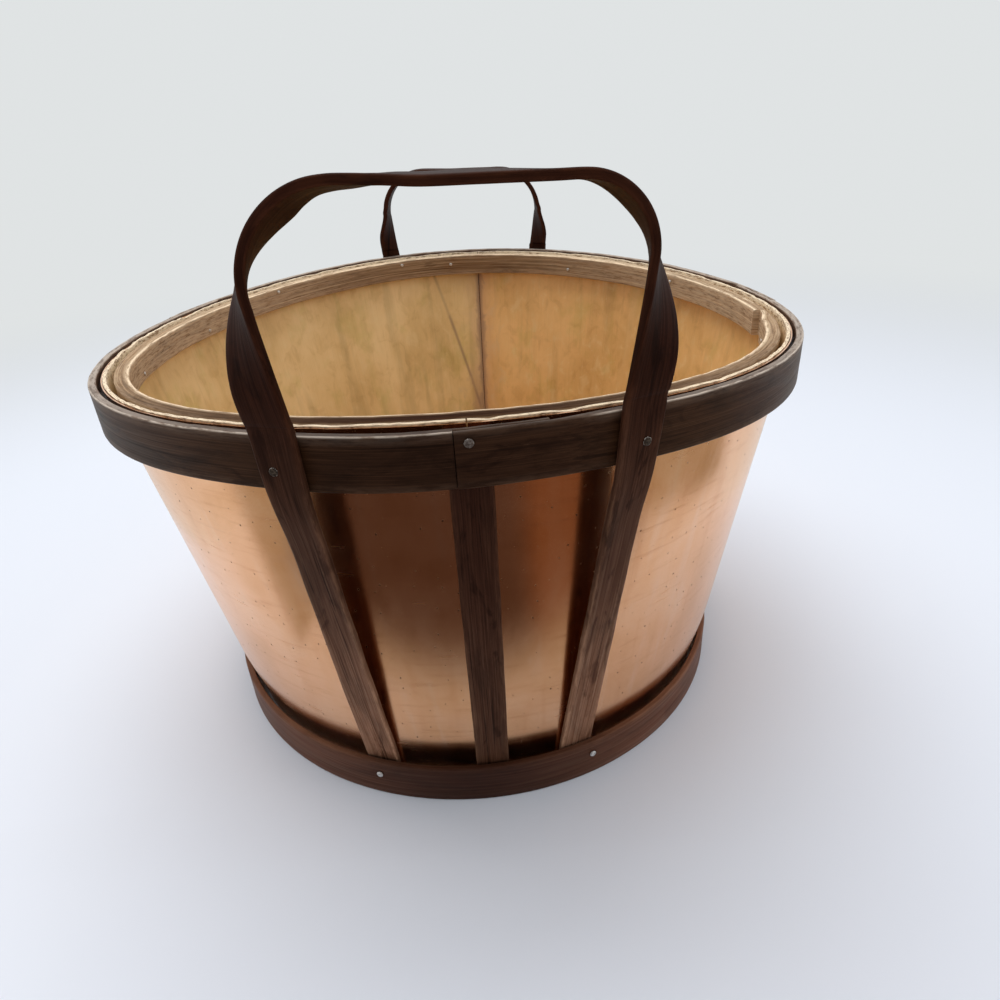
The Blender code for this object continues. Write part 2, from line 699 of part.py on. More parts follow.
def build_basket():
    """Make every piece."""
    clear_scene()
    stained = material("stained_wood", (0.060, 0.034, 0.022), 0.45)
    weathered = material("weathered_wood", (0.26, 0.19, 0.13), 0.70)
    veneer = material("wood_veneer", (0.52, 0.34, 0.14), 0.50)
    copper = material("polished_copper", (0.80, 0.42, 0.26), 0.22, 1.0)
    board = material("board_wood", (0.45, 0.31, 0.18), 0.65)
    steel = material("nail_steel", (0.45, 0.44, 0.42), 0.40, 1.0)

    left = (BACK_SEAM_ANGLE - 360.0, FRONT_SEAM_ANGLE)
    right = (FRONT_SEAM_ANGLE, BACK_SEAM_ANGLE)
    for label, (start, end) in (("left", left), ("right", right)):
        sheet("veneer_lining_" + label, start, end, lining_inside, lining_outside, WALL_BELOW_RIM, veneer)
        below = WALL_BELOW_RIM + COPPER_BELOW_LINING
        sheet("copper_sheet_" + label, start, end, copper_inside, wall_outside, below, copper)

    stave("front_stave", FRONT_SEAM_ANGLE, stained)
    stave("back_stave", BACK_SEAM_ANGLE, stained)
    floor_board("bottom_board", board)

    front_lap = RIM_LAP_FRONT_ANGLES[1] - RIM_LAP_FRONT_ANGLES[0]
    right_lap = RIM_LAP_RIGHT_ANGLES[1] - RIM_LAP_RIGHT_ANGLES[0]
    left_lap = RIM_LAP_LEFT_ANGLES[1] - RIM_LAP_LEFT_ANGLES[0]
    under = angle_of(FIT_GAP, RIM_RADIUS)
    rim_strips = (
        ("rim_hoop_front_right", RIM_LAP_FRONT_ANGLES[0], RIM_LAP_RIGHT_ANGLES[1],
         (front_lap + under, True), (right_lap + under, False)),
        ("rim_hoop_back", RIM_LAP_RIGHT_ANGLES[0], RIM_LAP_LEFT_ANGLES[1],
         (right_lap + under, True), (left_lap + under, True)),
        ("rim_hoop_front_left", RIM_LAP_LEFT_ANGLES[0] - 360.0, RIM_LAP_FRONT_ANGLES[1],
         (left_lap + under, False), (front_lap + under, False)),
    )
    for name, start, end, start_lap, end_lap in rim_strips:
        lapped_band(
            name, start, end, (start_lap, end_lap), rim_hoop_radii, rim_hoop_heights,
            RIM_HOOP_THICKNESS, LAP_STEP, stained,
        )

    inner_lap = INNER_LAP_ANGLES[1] - INNER_LAP_ANGLES[0] + under
    lapped_band(
        "rim_hoop_inner", INNER_LAP_ANGLES[0], INNER_LAP_ANGLES[1] + 360.0,
        ((inner_lap, False), (inner_lap, True)),
        inner_hoop_radii, inner_hoop_heights, INNER_HOOP_THICKNESS, 0.0, weathered,
    )
    bottom_lap = BOTTOM_LAP_ANGLES[1] - BOTTOM_LAP_ANGLES[0] + under
    lapped_band(
        "bottom_hoop", BOTTOM_LAP_ANGLES[0], BOTTOM_LAP_ANGLES[1] + 360.0,
        ((bottom_lap, True), (bottom_lap, False)),
        bottom_hoop_radii, bottom_hoop_heights, BOTTOM_HOOP_THICKNESS, LAP_STEP, stained,
    )

    handle("front_handle", FRONT_HANDLE, stained)
    handle("rear_handle", REAR_HANDLE, stained)

    fasteners = all_fasteners()
    for fastener, pieces in fasteners:
        fastener.build(steel)
    drill_holes(fasteners)


build_basket()
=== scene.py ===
import json
import math
from types import SimpleNamespace

import bmesh
import bpy
from mathutils import Matrix, Vector, noise

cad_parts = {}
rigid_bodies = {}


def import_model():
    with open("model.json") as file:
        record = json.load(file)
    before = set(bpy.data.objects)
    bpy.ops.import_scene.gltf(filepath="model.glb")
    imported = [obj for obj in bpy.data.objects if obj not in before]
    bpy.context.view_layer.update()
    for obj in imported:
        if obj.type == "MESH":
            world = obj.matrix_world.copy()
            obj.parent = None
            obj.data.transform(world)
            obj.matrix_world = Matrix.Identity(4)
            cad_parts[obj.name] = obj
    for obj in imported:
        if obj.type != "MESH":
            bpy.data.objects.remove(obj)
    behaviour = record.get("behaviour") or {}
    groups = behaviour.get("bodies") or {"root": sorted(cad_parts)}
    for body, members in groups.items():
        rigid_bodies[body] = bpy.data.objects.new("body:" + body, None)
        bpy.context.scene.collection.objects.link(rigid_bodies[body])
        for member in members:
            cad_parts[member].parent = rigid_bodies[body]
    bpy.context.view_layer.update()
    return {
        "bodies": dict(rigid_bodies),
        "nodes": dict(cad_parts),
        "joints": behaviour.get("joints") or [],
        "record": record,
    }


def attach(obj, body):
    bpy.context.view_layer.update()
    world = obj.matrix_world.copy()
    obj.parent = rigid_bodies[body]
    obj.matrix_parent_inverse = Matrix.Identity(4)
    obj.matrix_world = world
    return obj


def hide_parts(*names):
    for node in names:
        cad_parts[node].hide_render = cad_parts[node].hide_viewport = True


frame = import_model()

MM = 0.001

# Overall shape, as in the CAD model
RIM_RADIUS = 217.0 * MM
RIM_HEIGHT = 257.0 * MM
RIM_SADDLE = 12.0 * MM
BASE_RADIUS = 180.7 * MM
FIT_GAP = 0.3 * MM

# Wall
WALL_PINCH_HEIGHT = 27.0 * MM
WALL_SHOULDER_HEIGHT = 44.0 * MM
WALL_SIDE_BASE = BASE_RADIUS - 9.1 * MM
WALL_SIDE_PINCH = BASE_RADIUS - 4.5 * MM
WALL_SIDE_SHOULDER = BASE_RADIUS + 0.9 * MM
WALL_SIDE_TOP = RIM_RADIUS - 3.1 * MM
WALL_FRONT_BASE = BASE_RADIUS - 13.6 * MM
WALL_FRONT_PINCH = BASE_RADIUS - 9.4 * MM
WALL_FRONT_TOP = RIM_RADIUS - 8.8 * MM
WALL_FOOT = 2.0 * MM
WALL_BELOW_RIM = 1.0 * MM
COPPER_THICKNESS = 0.7 * MM
COPPER_BELOW_LINING = 0.8 * MM
VENEER_THICKNESS = 2.2 * MM
SEAM_GAP = 0.7 * MM
SLANT_STAIN = -32.0 * MM
BROAD_DENT = 0.22 * MM
FOLD_DENT = 0.05 * MM
DENT_CLEARANCE = 0.3 * MM
FRONT_SEAM_ANGLE = 3.8
BACK_SEAM_ANGLE = 175.0

# Staves and hoops
STAVE_WIDTH = 20.0 * MM
STAVE_THICKNESS = 4.0 * MM
STAVE_FOOT = 3.0 * MM
STAVE_BELOW_RIM = 5.0 * MM
STAVE_EDGE = 1.1 * MM
STAVE_EDGE_WAVE = 0.35 * MM
RIM_HOOP_HEIGHT = 25.4 * MM
RIM_HOOP_THICKNESS = 4.2 * MM
LAP_STEP = 0.7 * MM
RIM_SAG = 1.6 * MM
RIM_SAG_ANGLE = -5.0
RIM_SAG_REACH = 22.0
LAP_FADE_ANGLE = 7.0
LAP_HAIR_ANGLE = 0.02
RIM_LAP_FRONT_ANGLES = (2.3, 12.5)
RIM_LAP_RIGHT_ANGLES = (91.0, 104.0)
RIM_LAP_LEFT_ANGLES = (242.0, 255.0)
INNER_HOOP_HEIGHT = 17.0 * MM
INNER_HOOP_THICKNESS = 8.2 * MM
INNER_HOOP_GAP = 0.6 * MM
INNER_HOOP_BELOW_RIM = 1.6 * MM
INNER_LAP_ANGLES = (86.0, 95.8)
BOTTOM_HOOP_HEIGHT = 26.4 * MM
BOTTOM_HOOP_THICKNESS = 4.0 * MM
BOTTOM_LAP_ANGLES = (222.0, 236.0)
BOARD_UNDERSIDE = 10.0 * MM
BOARD_THICKNESS = 12.7 * MM
BOARD_PLAY = 0.3 * MM
BOARD_EDGE = 1.2 * MM
BOARD_FACE_INSET = 8.0 * MM

# Handles
STRIP_WIDTH = 21.0 * MM
STRIP_THICKNESS = 4.0 * MM
STRIP_FOOT = 5.0 * MM
STRIP_TUCK = 4.0 * MM
STRIP_EDGE = 1.0 * MM
STRIP_EDGE_WAVE = 0.3 * MM
STRIP_CHIP = 1.1 * MM
STRIP_FACE_WAVE = 0.12 * MM

# Rows of a leg: share of the way up between the hoops, turn in degrees, width and bow
LEG_ROWS = (
    (0.0, 0.0, 21.0 * MM, 0.0), (0.25, 2.0, 20.5 * MM, 0.4 * MM), (0.42, 3.0, 20.1 * MM, 0.9 * MM),
    (0.66, 5.0, 19.6 * MM, 1.7 * MM), (0.86, 4.0, 19.0 * MM, 2.5 * MM), (1.0, 0.0, 19.0 * MM, 2.6 * MM),
)

# Nails
NAIL_HEAD = 2.1 * MM
NAIL_HEAD_HEIGHT = 0.9 * MM
BRAD_HEAD = 1.3 * MM
BRAD_HEAD_HEIGHT = 0.5 * MM
LEG_NAIL_BELOW_RIM = 16.0 * MM
LAP_NAIL_BELOW_RIM = 6.0 * MM
SIDE_NAIL_BELOW_RIM = 12.7 * MM
FOOT_NAIL_HEIGHT = 17.0 * MM
BASE_LAP_NAIL_INSET = 3.0

# Brads inside the rim: bearing and depth below the rim
BRADS = (
    (35.0, 8.0 * MM), (52.0, 12.0 * MM), (76.0, 13.0 * MM), (120.0, 7.0 * MM),
    (150.0, 12.0 * MM), (182.0, 9.0 * MM), (195.0, 5.5 * MM), (229.0, 5.0 * MM),
    (251.0, 14.0 * MM), (280.0, 14.0 * MM), (312.0, 12.0 * MM), (331.0, 8.0 * MM),
)

# Fineness of the meshes, and how far wear reaches from an edge
TURN_SEGMENTS = 300
SLACK = 0.05 * MM
FRAME_STEPS = 7
SHEET_ROWS = 26
STAVE_ROWS = 60
NAIL_SIDES = 24
WEAR_REACH = 1.1 * MM

# Sizes of the two handles, as in the CAD model. Pairs are for the left and the right half.
# twist holds the heights over which a riser turns, and its degrees past a quarter turn;
# waist holds the width at the rim, the height over which it fades, and the bow.
FRONT_HANDLE = SimpleNamespace(
    bearing=3.2, rim_angle=20.0, foot_angle=19.6, foot_drift=-2.1,
    rise=89.6 * MM, tilt=1.5 * MM, sag=1.0 * MM, spread_gain=5.5 * MM, sway=0.9 * MM,
    corners=(36.0 * MM, 28.0 * MM), lean=0.17,
    twist=((12.0 * MM, 82.0 * MM, 18.0), (14.0 * MM, 76.0 * MM, 7.0)),
    foot_nails=(0.0, 2.75),
    waist=(20.8 * MM, 12.0 * MM, 0.8 * MM),
)
REAR_HANDLE = SimpleNamespace(
    bearing=178.4, rim_angle=18.6, foot_angle=16.6, foot_drift=0.0,
    rise=68.5 * MM, tilt=-0.9 * MM, sag=0.5 * MM, spread_gain=5.5 * MM, sway=-0.9 * MM,
    corners=(35.0 * MM, 34.0 * MM), lean=0.22,
    twist=((-12.0 * MM, 36.0 * MM, 0.0), (-12.0 * MM, 36.0 * MM, 0.0)),
    foot_nails=(0.0, 0.0),
    waist=(16.0 * MM, 22.0 * MM, 0.0),
)


# Places and sizes

def outward(bearing):
    """Horizontal unit vector that points away from the basket's axis at a bearing."""
    angle = math.radians(bearing)
    return Vector((math.sin(angle), -math.cos(angle), 0.0))


def sideways(bearing):
    """Horizontal unit vector along the rim, towards a growing bearing."""
    angle = math.radians(bearing)
    return Vector((math.cos(angle), math.sin(angle), 0.0))


def place(bearing, radius, height):
    """Point at a bearing, a distance from the axis and a height."""
    return outward(bearing) * radius + Vector((0.0, 0.0, height))


def smooth_step(value):
    """Ease from 0 to 1."""
    value = min(max(value, 0.0), 1.0)
    return value * value * (3.0 - 2.0 * value)


def ripple(along, across, seed):
    """Gentle seeded variation between about -1 and 1."""
    return noise.noise(Vector((along, across, 7.3 * seed + 0.5)))


def rim_height(bearing):
    """Height of the rim, which dips towards both sides."""
    return RIM_HEIGHT - RIM_SADDLE * math.sin(math.radians(bearing)) ** 2


def along_line(height, points):
    """Radius at a height on a line through (height, radius) points."""
    for (low, first), (high, second) in zip(points, points[1:]):
        if height <= high:
            break
    return first + (second - first) * (height - low) / (high - low)


def eased_line(height, points):
    """The same line with its corners rounded."""
    shifts = (-6.0 * MM, -3.0 * MM, 0.0, 3.0 * MM, 6.0 * MM)
    return sum(along_line(height + shift, points) for shift in shifts) / len(shifts)


def wall_outside(bearing, height):
    """Distance from the axis to the copper's outer face."""
    side = eased_line(height, (
        (0.0, WALL_SIDE_BASE), (WALL_PINCH_HEIGHT, WALL_SIDE_PINCH),
        (WALL_SHOULDER_HEIGHT, WALL_SIDE_SHOULDER), (RIM_HEIGHT, WALL_SIDE_TOP),
    ))
    front = eased_line(height, (
        (0.0, WALL_FRONT_BASE), (WALL_PINCH_HEIGHT, WALL_FRONT_PINCH), (RIM_HEIGHT, WALL_FRONT_TOP),
    ))
    angle = math.radians(bearing)
    return 1.0 / math.hypot(math.sin(angle) / side, math.cos(angle) / front)


def wall_dent(bearing, height):
    """How far the thin wall is pressed in, which makes its reflections wander."""
    along = math.radians(bearing) * RIM_RADIUS
    broad = 0.5 + 0.5 * ripple(along * 9.0, height * 6.0, 1.0)
    folds = 0.5 + 0.5 * ripple(along * 30.0, height * 4.0, 2.0)
    return BROAD_DENT * broad + FOLD_DENT * folds


def copper_outside(bearing, height):
    """The copper's outer face with its dents."""
    return wall_outside(bearing, height) - wall_dent(bearing, height)


def copper_inside(bearing, height):
    """The copper's inner face."""
    return copper_outside(bearing, height) - COPPER_THICKNESS


def lining_outside(bearing, height):
    """Distance from the axis to the lining's outer face."""
    return wall_outside(bearing, height) - COPPER_THICKNESS - FIT_GAP - DENT_CLEARANCE


def lining_inside(bearing, height):
    """Distance from the axis to the lining's inner face."""
    return wall_outside(bearing, height) - COPPER_THICKNESS - FIT_GAP - VENEER_THICKNESS


def angle_of(length, radius):
    """Angle in degrees that a length covers at a radius."""
    return math.degrees(length / radius)


def stations(start, end, extra=()):
    """Bearings from start to end at the common spacing, with extra ones put in."""
    spacing = 360.0 / TURN_SEGMENTS
    count = max(1, round((end - start) / spacing))
    result = [start + (end - start) * i / count for i in range(count + 1)]
    inside = [bearing for bearing in extra if start < bearing < end]
    result = [
        bearing for bearing in result
        if bearing in (start, end) or all(abs(bearing - other) > 0.25 for other in inside)
    ]
    return sorted(result + inside)


def facing(bearing, centre, reach):
    """1 at a bearing, easing to 0 at a reach from it."""
    distance = abs((bearing - centre + 180.0) % 360.0 - 180.0)
    return smooth_step(1.0 - distance / reach)


# Mesh building

def new_object(name, data):
    """Object in the scene that shows the given data."""
    result = bpy.data.objects.new(name, data)
    bpy.context.scene.collection.objects.link(result)
    return result


def dress(piece, node):
    """Let a finished piece stand for its CAD node."""
    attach(piece, "root")
    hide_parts(node)


class Piece:
    """Mesh under construction that will stand for a CAD node.

    Each point also carries its place in the grain and its tone.
    grain is (along, across, depth) in metres, and tone is (wear, pale, stain) from 0 to 1; pale also carries
    painted highlight and painted light, and stain also carries painted shade.
    """

    def __init__(self, node):
        self.node = node
        self.points = []
        self.grain = []
        self.tone = []
        self.faces = []

    def add(self, point, grain, tone=(0.0, 0.0, 0.0)):
        """Add one point and return its number."""
        self.points.append(point)
        self.grain.append(grain)
        self.tone.append(tone)
        return len(self.points) - 1

    def skin(self, rings):
        """Join closed rings of the same length in turn."""
        for first, second in zip(rings, rings[1:]):
            count = len(first)
            for i in range(count):
                j = (i + 1) % count
                self.faces.append((first[i], first[j], second[j], second[i]))

    def cap(self, ring, pale):
        """Close a strip's end with a face of its own, where the end grain shows."""
        own = []
        for number in ring:
            along, across, depth = self.grain[number]
            stain_and_shade = self.tone[number][2]
            tone = (0.3, pale * (1.0 - stain_and_shade), stain_and_shade)
            own.append(self.add(self.points[number], (depth, across, along), tone))
        self.faces.append(tuple(own))

    def strip(self, rings, pale):
        """Join rings in turn and close both ends."""
        self.skin(rings)
        self.cap(rings[0], pale)
        self.cap(rings[-1], pale)

    def make(self, finish, sharp=50.0):
        """Turn the points into an object that stands for the node."""
        name = self.node + "_fine"
        mesh = bpy.data.meshes.new(name)
        mesh.from_pydata(self.points, [], self.faces)
        for label, values in (("grain", self.grain), ("tone", self.tone)):
            layer = mesh.attributes.new(label, "FLOAT_VECTOR", "POINT")
            layer.data.foreach_set("vector", [number for value in values for number in value])
        builder = bmesh.new()
        builder.from_mesh(mesh)
        bmesh.ops.recalc_face_normals(builder, faces=builder.faces)
        builder.to_mesh(mesh)
        builder.free()
        mesh.shade_smooth()
        mesh.set_sharp_from_angle(angle=math.radians(sharp))
        mesh.materials.append(finish)
        dress(new_object(name, mesh), self.node)


def rounded_section(width, thickness, edge, rows):
    """Points round a strip's cross-section as (across, depth, wear), with its corners rounded."""
    result = []
    corners = (
        (width - edge, edge, -90.0), (width - edge, thickness - edge, 0.0),
        (edge, thickness - edge, 90.0), (edge, edge, 180.0),
    )
    for number, (across, depth, start) in enumerate(corners):
        for i in range(4):
            angle = math.radians(start + 30.0 * i)
            result.append((across + edge * math.cos(angle), depth + edge * math.sin(angle)))
        last_across, last_depth = result[-1]
        next_across, next_depth, next_start = corners[(number + 1) % 4]
        angle = math.radians(next_start)
        next_across += edge * math.cos(angle)
        next_depth += edge * math.sin(angle)
        count = rows if number in (1, 3) else 5
        for i in range(1, count):
            share = i / count
            result.append((
                last_across + (next_across - last_across) * share,
                last_depth + (next_depth - last_depth) * share,
            ))
    section = []
    for across, depth in result:
        corner = math.hypot(min(across, width - across), min(depth, thickness - depth))
        section.append((across, depth, math.exp(-max(corner - edge * 0.3, 0.0) / WEAR_REACH)))
    return section


def lap_profile(bearing, start, end, laps, thickness, step):
    """How a lapped strip's two faces move at its ends: (inner face, outer face) offsets."""
    inner = 0.0
    outer = 0.0
    for (lap, on_outside), distance in zip(laps, (bearing - start, end - bearing)):
        if on_outside:
            share = 1.0 - smooth_step((distance - lap) / LAP_FADE_ANGLE)
            inner = max(inner, (thickness + step + FIT_GAP) / 2.0 * share)
            outer = max(outer, step * share)
        elif distance < lap + LAP_HAIR_ANGLE / 2.0:
            outer = min(outer, (step - thickness - FIT_GAP) / 2.0)
    return inner, outer


def lapped_band(node, start, end, laps, step, size_at, edge, rough, tone_at, seed, finish):
    """Strip bent round the basket with a thinned lap at each end, like the CAD solid but finer.

    step is how far the outer layer of a lap stands out, size_at(bearing) gives both radii and both edges,
    rough is how uneven the edges are, and tone_at(bearing, below_top, depth) how pale and how dark a
    point is, from paleness, stain, painted highlight and painted shade.
    """
    piece = Piece(node)
    thickness = size_at(0.0)[1] - size_at(0.0)[0]
    start_lap, end_lap = [lap for lap, on_outside in laps]
    cuts = [
        start + start_lap, start + start_lap + LAP_HAIR_ANGLE,
        end - end_lap, end - end_lap - LAP_HAIR_ANGLE,
    ]
    rings = []
    for bearing in stations(start, end, sorted(cuts)):
        inner_radius, outer_radius, low, high = size_at(bearing)
        inner, outer = lap_profile(bearing, start, end, laps, thickness, step)
        along = math.radians(bearing) * outer_radius
        here = outer_radius + outer - inner_radius - inner
        low += rough * (0.5 + 0.5 * ripple(along * 22.0, 0.0, seed + 0.1))
        high -= rough * (0.5 + 0.5 * ripple(along * 26.0, 3.0, seed + 0.2))
        high -= rough * 0.6 * max(0.0, ripple(along * 120.0, 5.0, seed + 0.3))
        ring = []
        for across, depth, wear in rounded_section(high - low, here, min(edge, here * 0.4), 6):
            swell = 0.1 * MM * ripple(along * 35.0, across * 120.0, seed) * (1.0 - wear)
            radius = inner_radius + inner + depth - abs(swell) * (1.0 if depth > here / 2.0 else -1.0)
            pale, stain_and_shade = tone_at(bearing, high - low - across, depth)
            ring.append(piece.add(
                place(bearing, radius, low + across),
                (along + 3.1 * seed, across, depth), (wear, pale, stain_and_shade),
            ))
        rings.append(ring)
    piece.strip(rings, 0.5)
    piece.make(finish)


def rim_hoop_tone(bearing, below_top, depth):
    """Worn upper edge with a painted highlight along its outer corner; the front is painted darkest, as
    painted shade.
    """
    top = smooth_step(1.0 - below_top / (1.1 * MM))
    # Painted highlight: a pale line along the top's outer corner.
    highlight_edge = smooth_step((depth - RIM_HOOP_THICKNESS + 1.1 * MM) / (0.6 * MM))
    sides = 1.0 - facing(bearing, 0.0, 75.0)
    pale = top * max(0.12 + 0.4 * sides, 0.85 * highlight_edge)
    # Painted shade: the front is darkened through the stain share, fading towards the sides.
    return pale, 0.62 * facing(bearing, 5.0, 85.0) * (1.0 - top * highlight_edge)


def inner_hoop_tone(bearing, below_top, depth):
    """Pale broken inner edge on top, dark behind it at the front, brown elsewhere; the inner face is painted
    lighter at the sides and darker at the rear, as painted light and painted shade.
    """
    top = smooth_step(1.0 - below_top / (0.9 * MM))
    inner_edge = smooth_step(1.0 - (depth - 1.5 * MM) / (1.2 * MM))
    front = facing(bearing, 0.0, 80.0)
    rear = facing(bearing, 180.0, 110.0)
    pale = top * max(inner_edge, 0.15 * (1.0 - front) + 0.6 * rear)
    foot = 0.3 * smooth_step((below_top - 14.5 * MM) / (2.0 * MM))
    # Painted light on the inner face at the sides, and painted shade on it at the rear.
    sides = 0.38 * (1.0 - facing(bearing, 180.0, 75.0)) * (1.0 - front) * (1.0 - top)
    shade = 0.14 * facing(bearing, 180.0, 75.0) * (1.0 - top)
    return max(pale, foot, sides), max(0.97 * top * front * (1.0 - inner_edge), shade)


def bottom_hoop_tone(bearing, below_top, depth):
    """A little wear on top; the front is darkest."""
    top = smooth_step(1.0 - below_top / (1.0 * MM))
    return 0.25 * top, 0.85 * facing(bearing, 0.0, 44.0)


def rim_hoop_size(bearing):
    """Inner and outer radius, and lower and upper edge, of the rim hoop."""
    top = rim_height(bearing) - RIM_SAG * facing(bearing, RIM_SAG_ANGLE, RIM_SAG_REACH)
    return RIM_RADIUS - RIM_HOOP_THICKNESS, RIM_RADIUS - SLACK, top - RIM_HOOP_HEIGHT, top


def inner_hoop_size(bearing):
    """The same for the hoop inside the rim, which stands upright."""
    top = rim_height(bearing) - INNER_HOOP_BELOW_RIM
    low = top - INNER_HOOP_HEIGHT
    outer = lining_inside(bearing, low) - INNER_HOOP_GAP
    return outer - INNER_HOOP_THICKNESS, outer, low, top


def bottom_hoop_size(bearing):
    """The same for the bottom hoop."""
    return BASE_RADIUS - BOTTOM_HOOP_THICKNESS, BASE_RADIUS, 0.0, BOTTOM_HOOP_HEIGHT


def wall_sheet(node, start, end, inside, outside, below_rim, ragged, seed, finish):
    """Half of the lining or of the copper, with a slightly uneven upper edge."""
    piece = Piece(node)
    margin = angle_of(SEAM_GAP / 2.0, RIM_RADIUS - RIM_HOOP_THICKNESS)
    rings = []
    for bearing in stations(start + margin, end - margin):
        along = math.radians(bearing) * RIM_RADIUS
        top = rim_height(bearing) - below_rim
        top -= ragged * max(0.0, ripple(along * 60.0, 0.0, seed)) * 2.0
        top -= ragged * max(0.0, ripple(along * 400.0, 2.0, seed)) * 1.6
        ring = []
        for face, radius_at in enumerate((outside, inside)):
            for i in range(SHEET_ROWS + 1):
                share = i / SHEET_ROWS
                height = WALL_FOOT + (top - WALL_FOOT) * (share if face == 0 else 1.0 - share)
                pale = smooth_step((height - top + 0.6 * MM) / (0.5 * MM))
                ring.append(piece.add(
                    place(bearing, radius_at(bearing, height), height),
                    (along, height, 0.0 if face == 0 else 5.0 * MM), (pale, pale, 0.0),
                ))
        rings.append(ring)
    piece.strip(rings, 0.6)
    piece.make(finish, 40.0)


def leg_stain_and_shade(height):
    """Legs and staves are darkest from the rim hoop up and lighter towards the foot; over the arches this
    darkness is partly stain and partly painted shade.
    """
    lower = smooth_step((height - 45.0 * MM) / (150.0 * MM))
    return 0.76 * lower + 0.24 * smooth_step((height - 190.0 * MM) / (90.0 * MM))


def stave(node, bearing, seed, finish):
    """Batten over a seam, from the foot of the wall up behind the rim hoop."""
    piece = Piece(node)
    top = rim_height(bearing) - STAVE_BELOW_RIM
    rings = []
    for i in range(STAVE_ROWS + 1):
        height = STAVE_FOOT + (top - STAVE_FOOT) * i / STAVE_ROWS
        inner = wall_outside(bearing, height) + FIT_GAP
        across_unit = angle_of(1.0, inner + STAVE_THICKNESS)
        ring = []
        for across, depth, wear in rounded_section(STAVE_WIDTH, STAVE_THICKNESS, STAVE_EDGE, 8):
            shift = across - STAVE_WIDTH / 2.0
            if abs(shift) > STAVE_WIDTH * 0.42:
                wave = 1.0 + ripple(height * 55.0, shift * 9.0, seed)
                shift -= math.copysign(STAVE_EDGE_WAVE, shift) * wave
            here = bearing + shift * across_unit
            share = depth / STAVE_THICKNESS
            base = wall_outside(here, height) + FIT_GAP
            radius = base + (inner + STAVE_THICKNESS - base) * share
            ring.append(piece.add(
                place(here, radius, height),
                (height + 3.1 * seed, across, depth), (wear, 0.0, 0.75 + 0.25 * leg_stain_and_shade(height)),
            ))
        rings.append(ring)
    piece.strip(rings, 0.5)
    piece.make(finish)


def floor_board(node, finish):
    """Round board inside the lining with eased edges."""
    piece = Piece(node)
    edge = BOARD_EDGE
    top = BOARD_UNDERSIDE + BOARD_THICKNESS
    profile = (
        (BOARD_FACE_INSET, BOARD_UNDERSIDE), (edge, BOARD_UNDERSIDE),
        (0.3 * edge, BOARD_UNDERSIDE + 0.3 * edge), (0.0, BOARD_UNDERSIDE + edge),
        (0.0, top - edge), (0.3 * edge, top - 0.3 * edge), (edge, top), (BOARD_FACE_INSET, top),
    )
    rings = []
    for inset, height in profile:
        ring = []
        for i in range(TURN_SEGMENTS):
            bearing = 360.0 * i / TURN_SEGMENTS
            radius = lining_inside(bearing, BOARD_UNDERSIDE) - BOARD_PLAY - inset
            point = place(bearing, radius, height)
            ring.append(piece.add(point, (point.x, point.y, height), (0.0, 0.0, 0.0)))
        rings.append(ring)
    piece.skin(rings)
    piece.faces.append(tuple(rings[0]))
    piece.faces.append(tuple(rings[-1]))
    piece.make(finish)


def leg_face_radius(bearing, height):
    """Distance from the axis to a leg's inner face below the rim."""
    bend = BOTTOM_HOOP_HEIGHT + STRIP_TUCK
    bend_radius = wall_outside(bearing, bend) + FIT_GAP
    hoop_foot = rim_height(bearing) - RIM_HOOP_HEIGHT - STRIP_TUCK
    hoop_radius = RIM_RADIUS + FIT_GAP
    if height <= bend:
        return wall_outside(bearing, height) + FIT_GAP
    if height >= hoop_foot:
        return hoop_radius
    share = (height - bend) / (hoop_foot - bend)
    return bend_radius + (hoop_radius - bend_radius) * share


def leg_bearing(size, side, height):
    """Bearing of a leg's middle at a height, side -1 or 1."""
    share = min(height / RIM_HEIGHT, 1.0)
    angle = size.foot_angle + (size.rim_angle - size.foot_angle) * share
    drift = size.foot_drift * (1.0 - share)
    return size.bearing + drift + side * angle


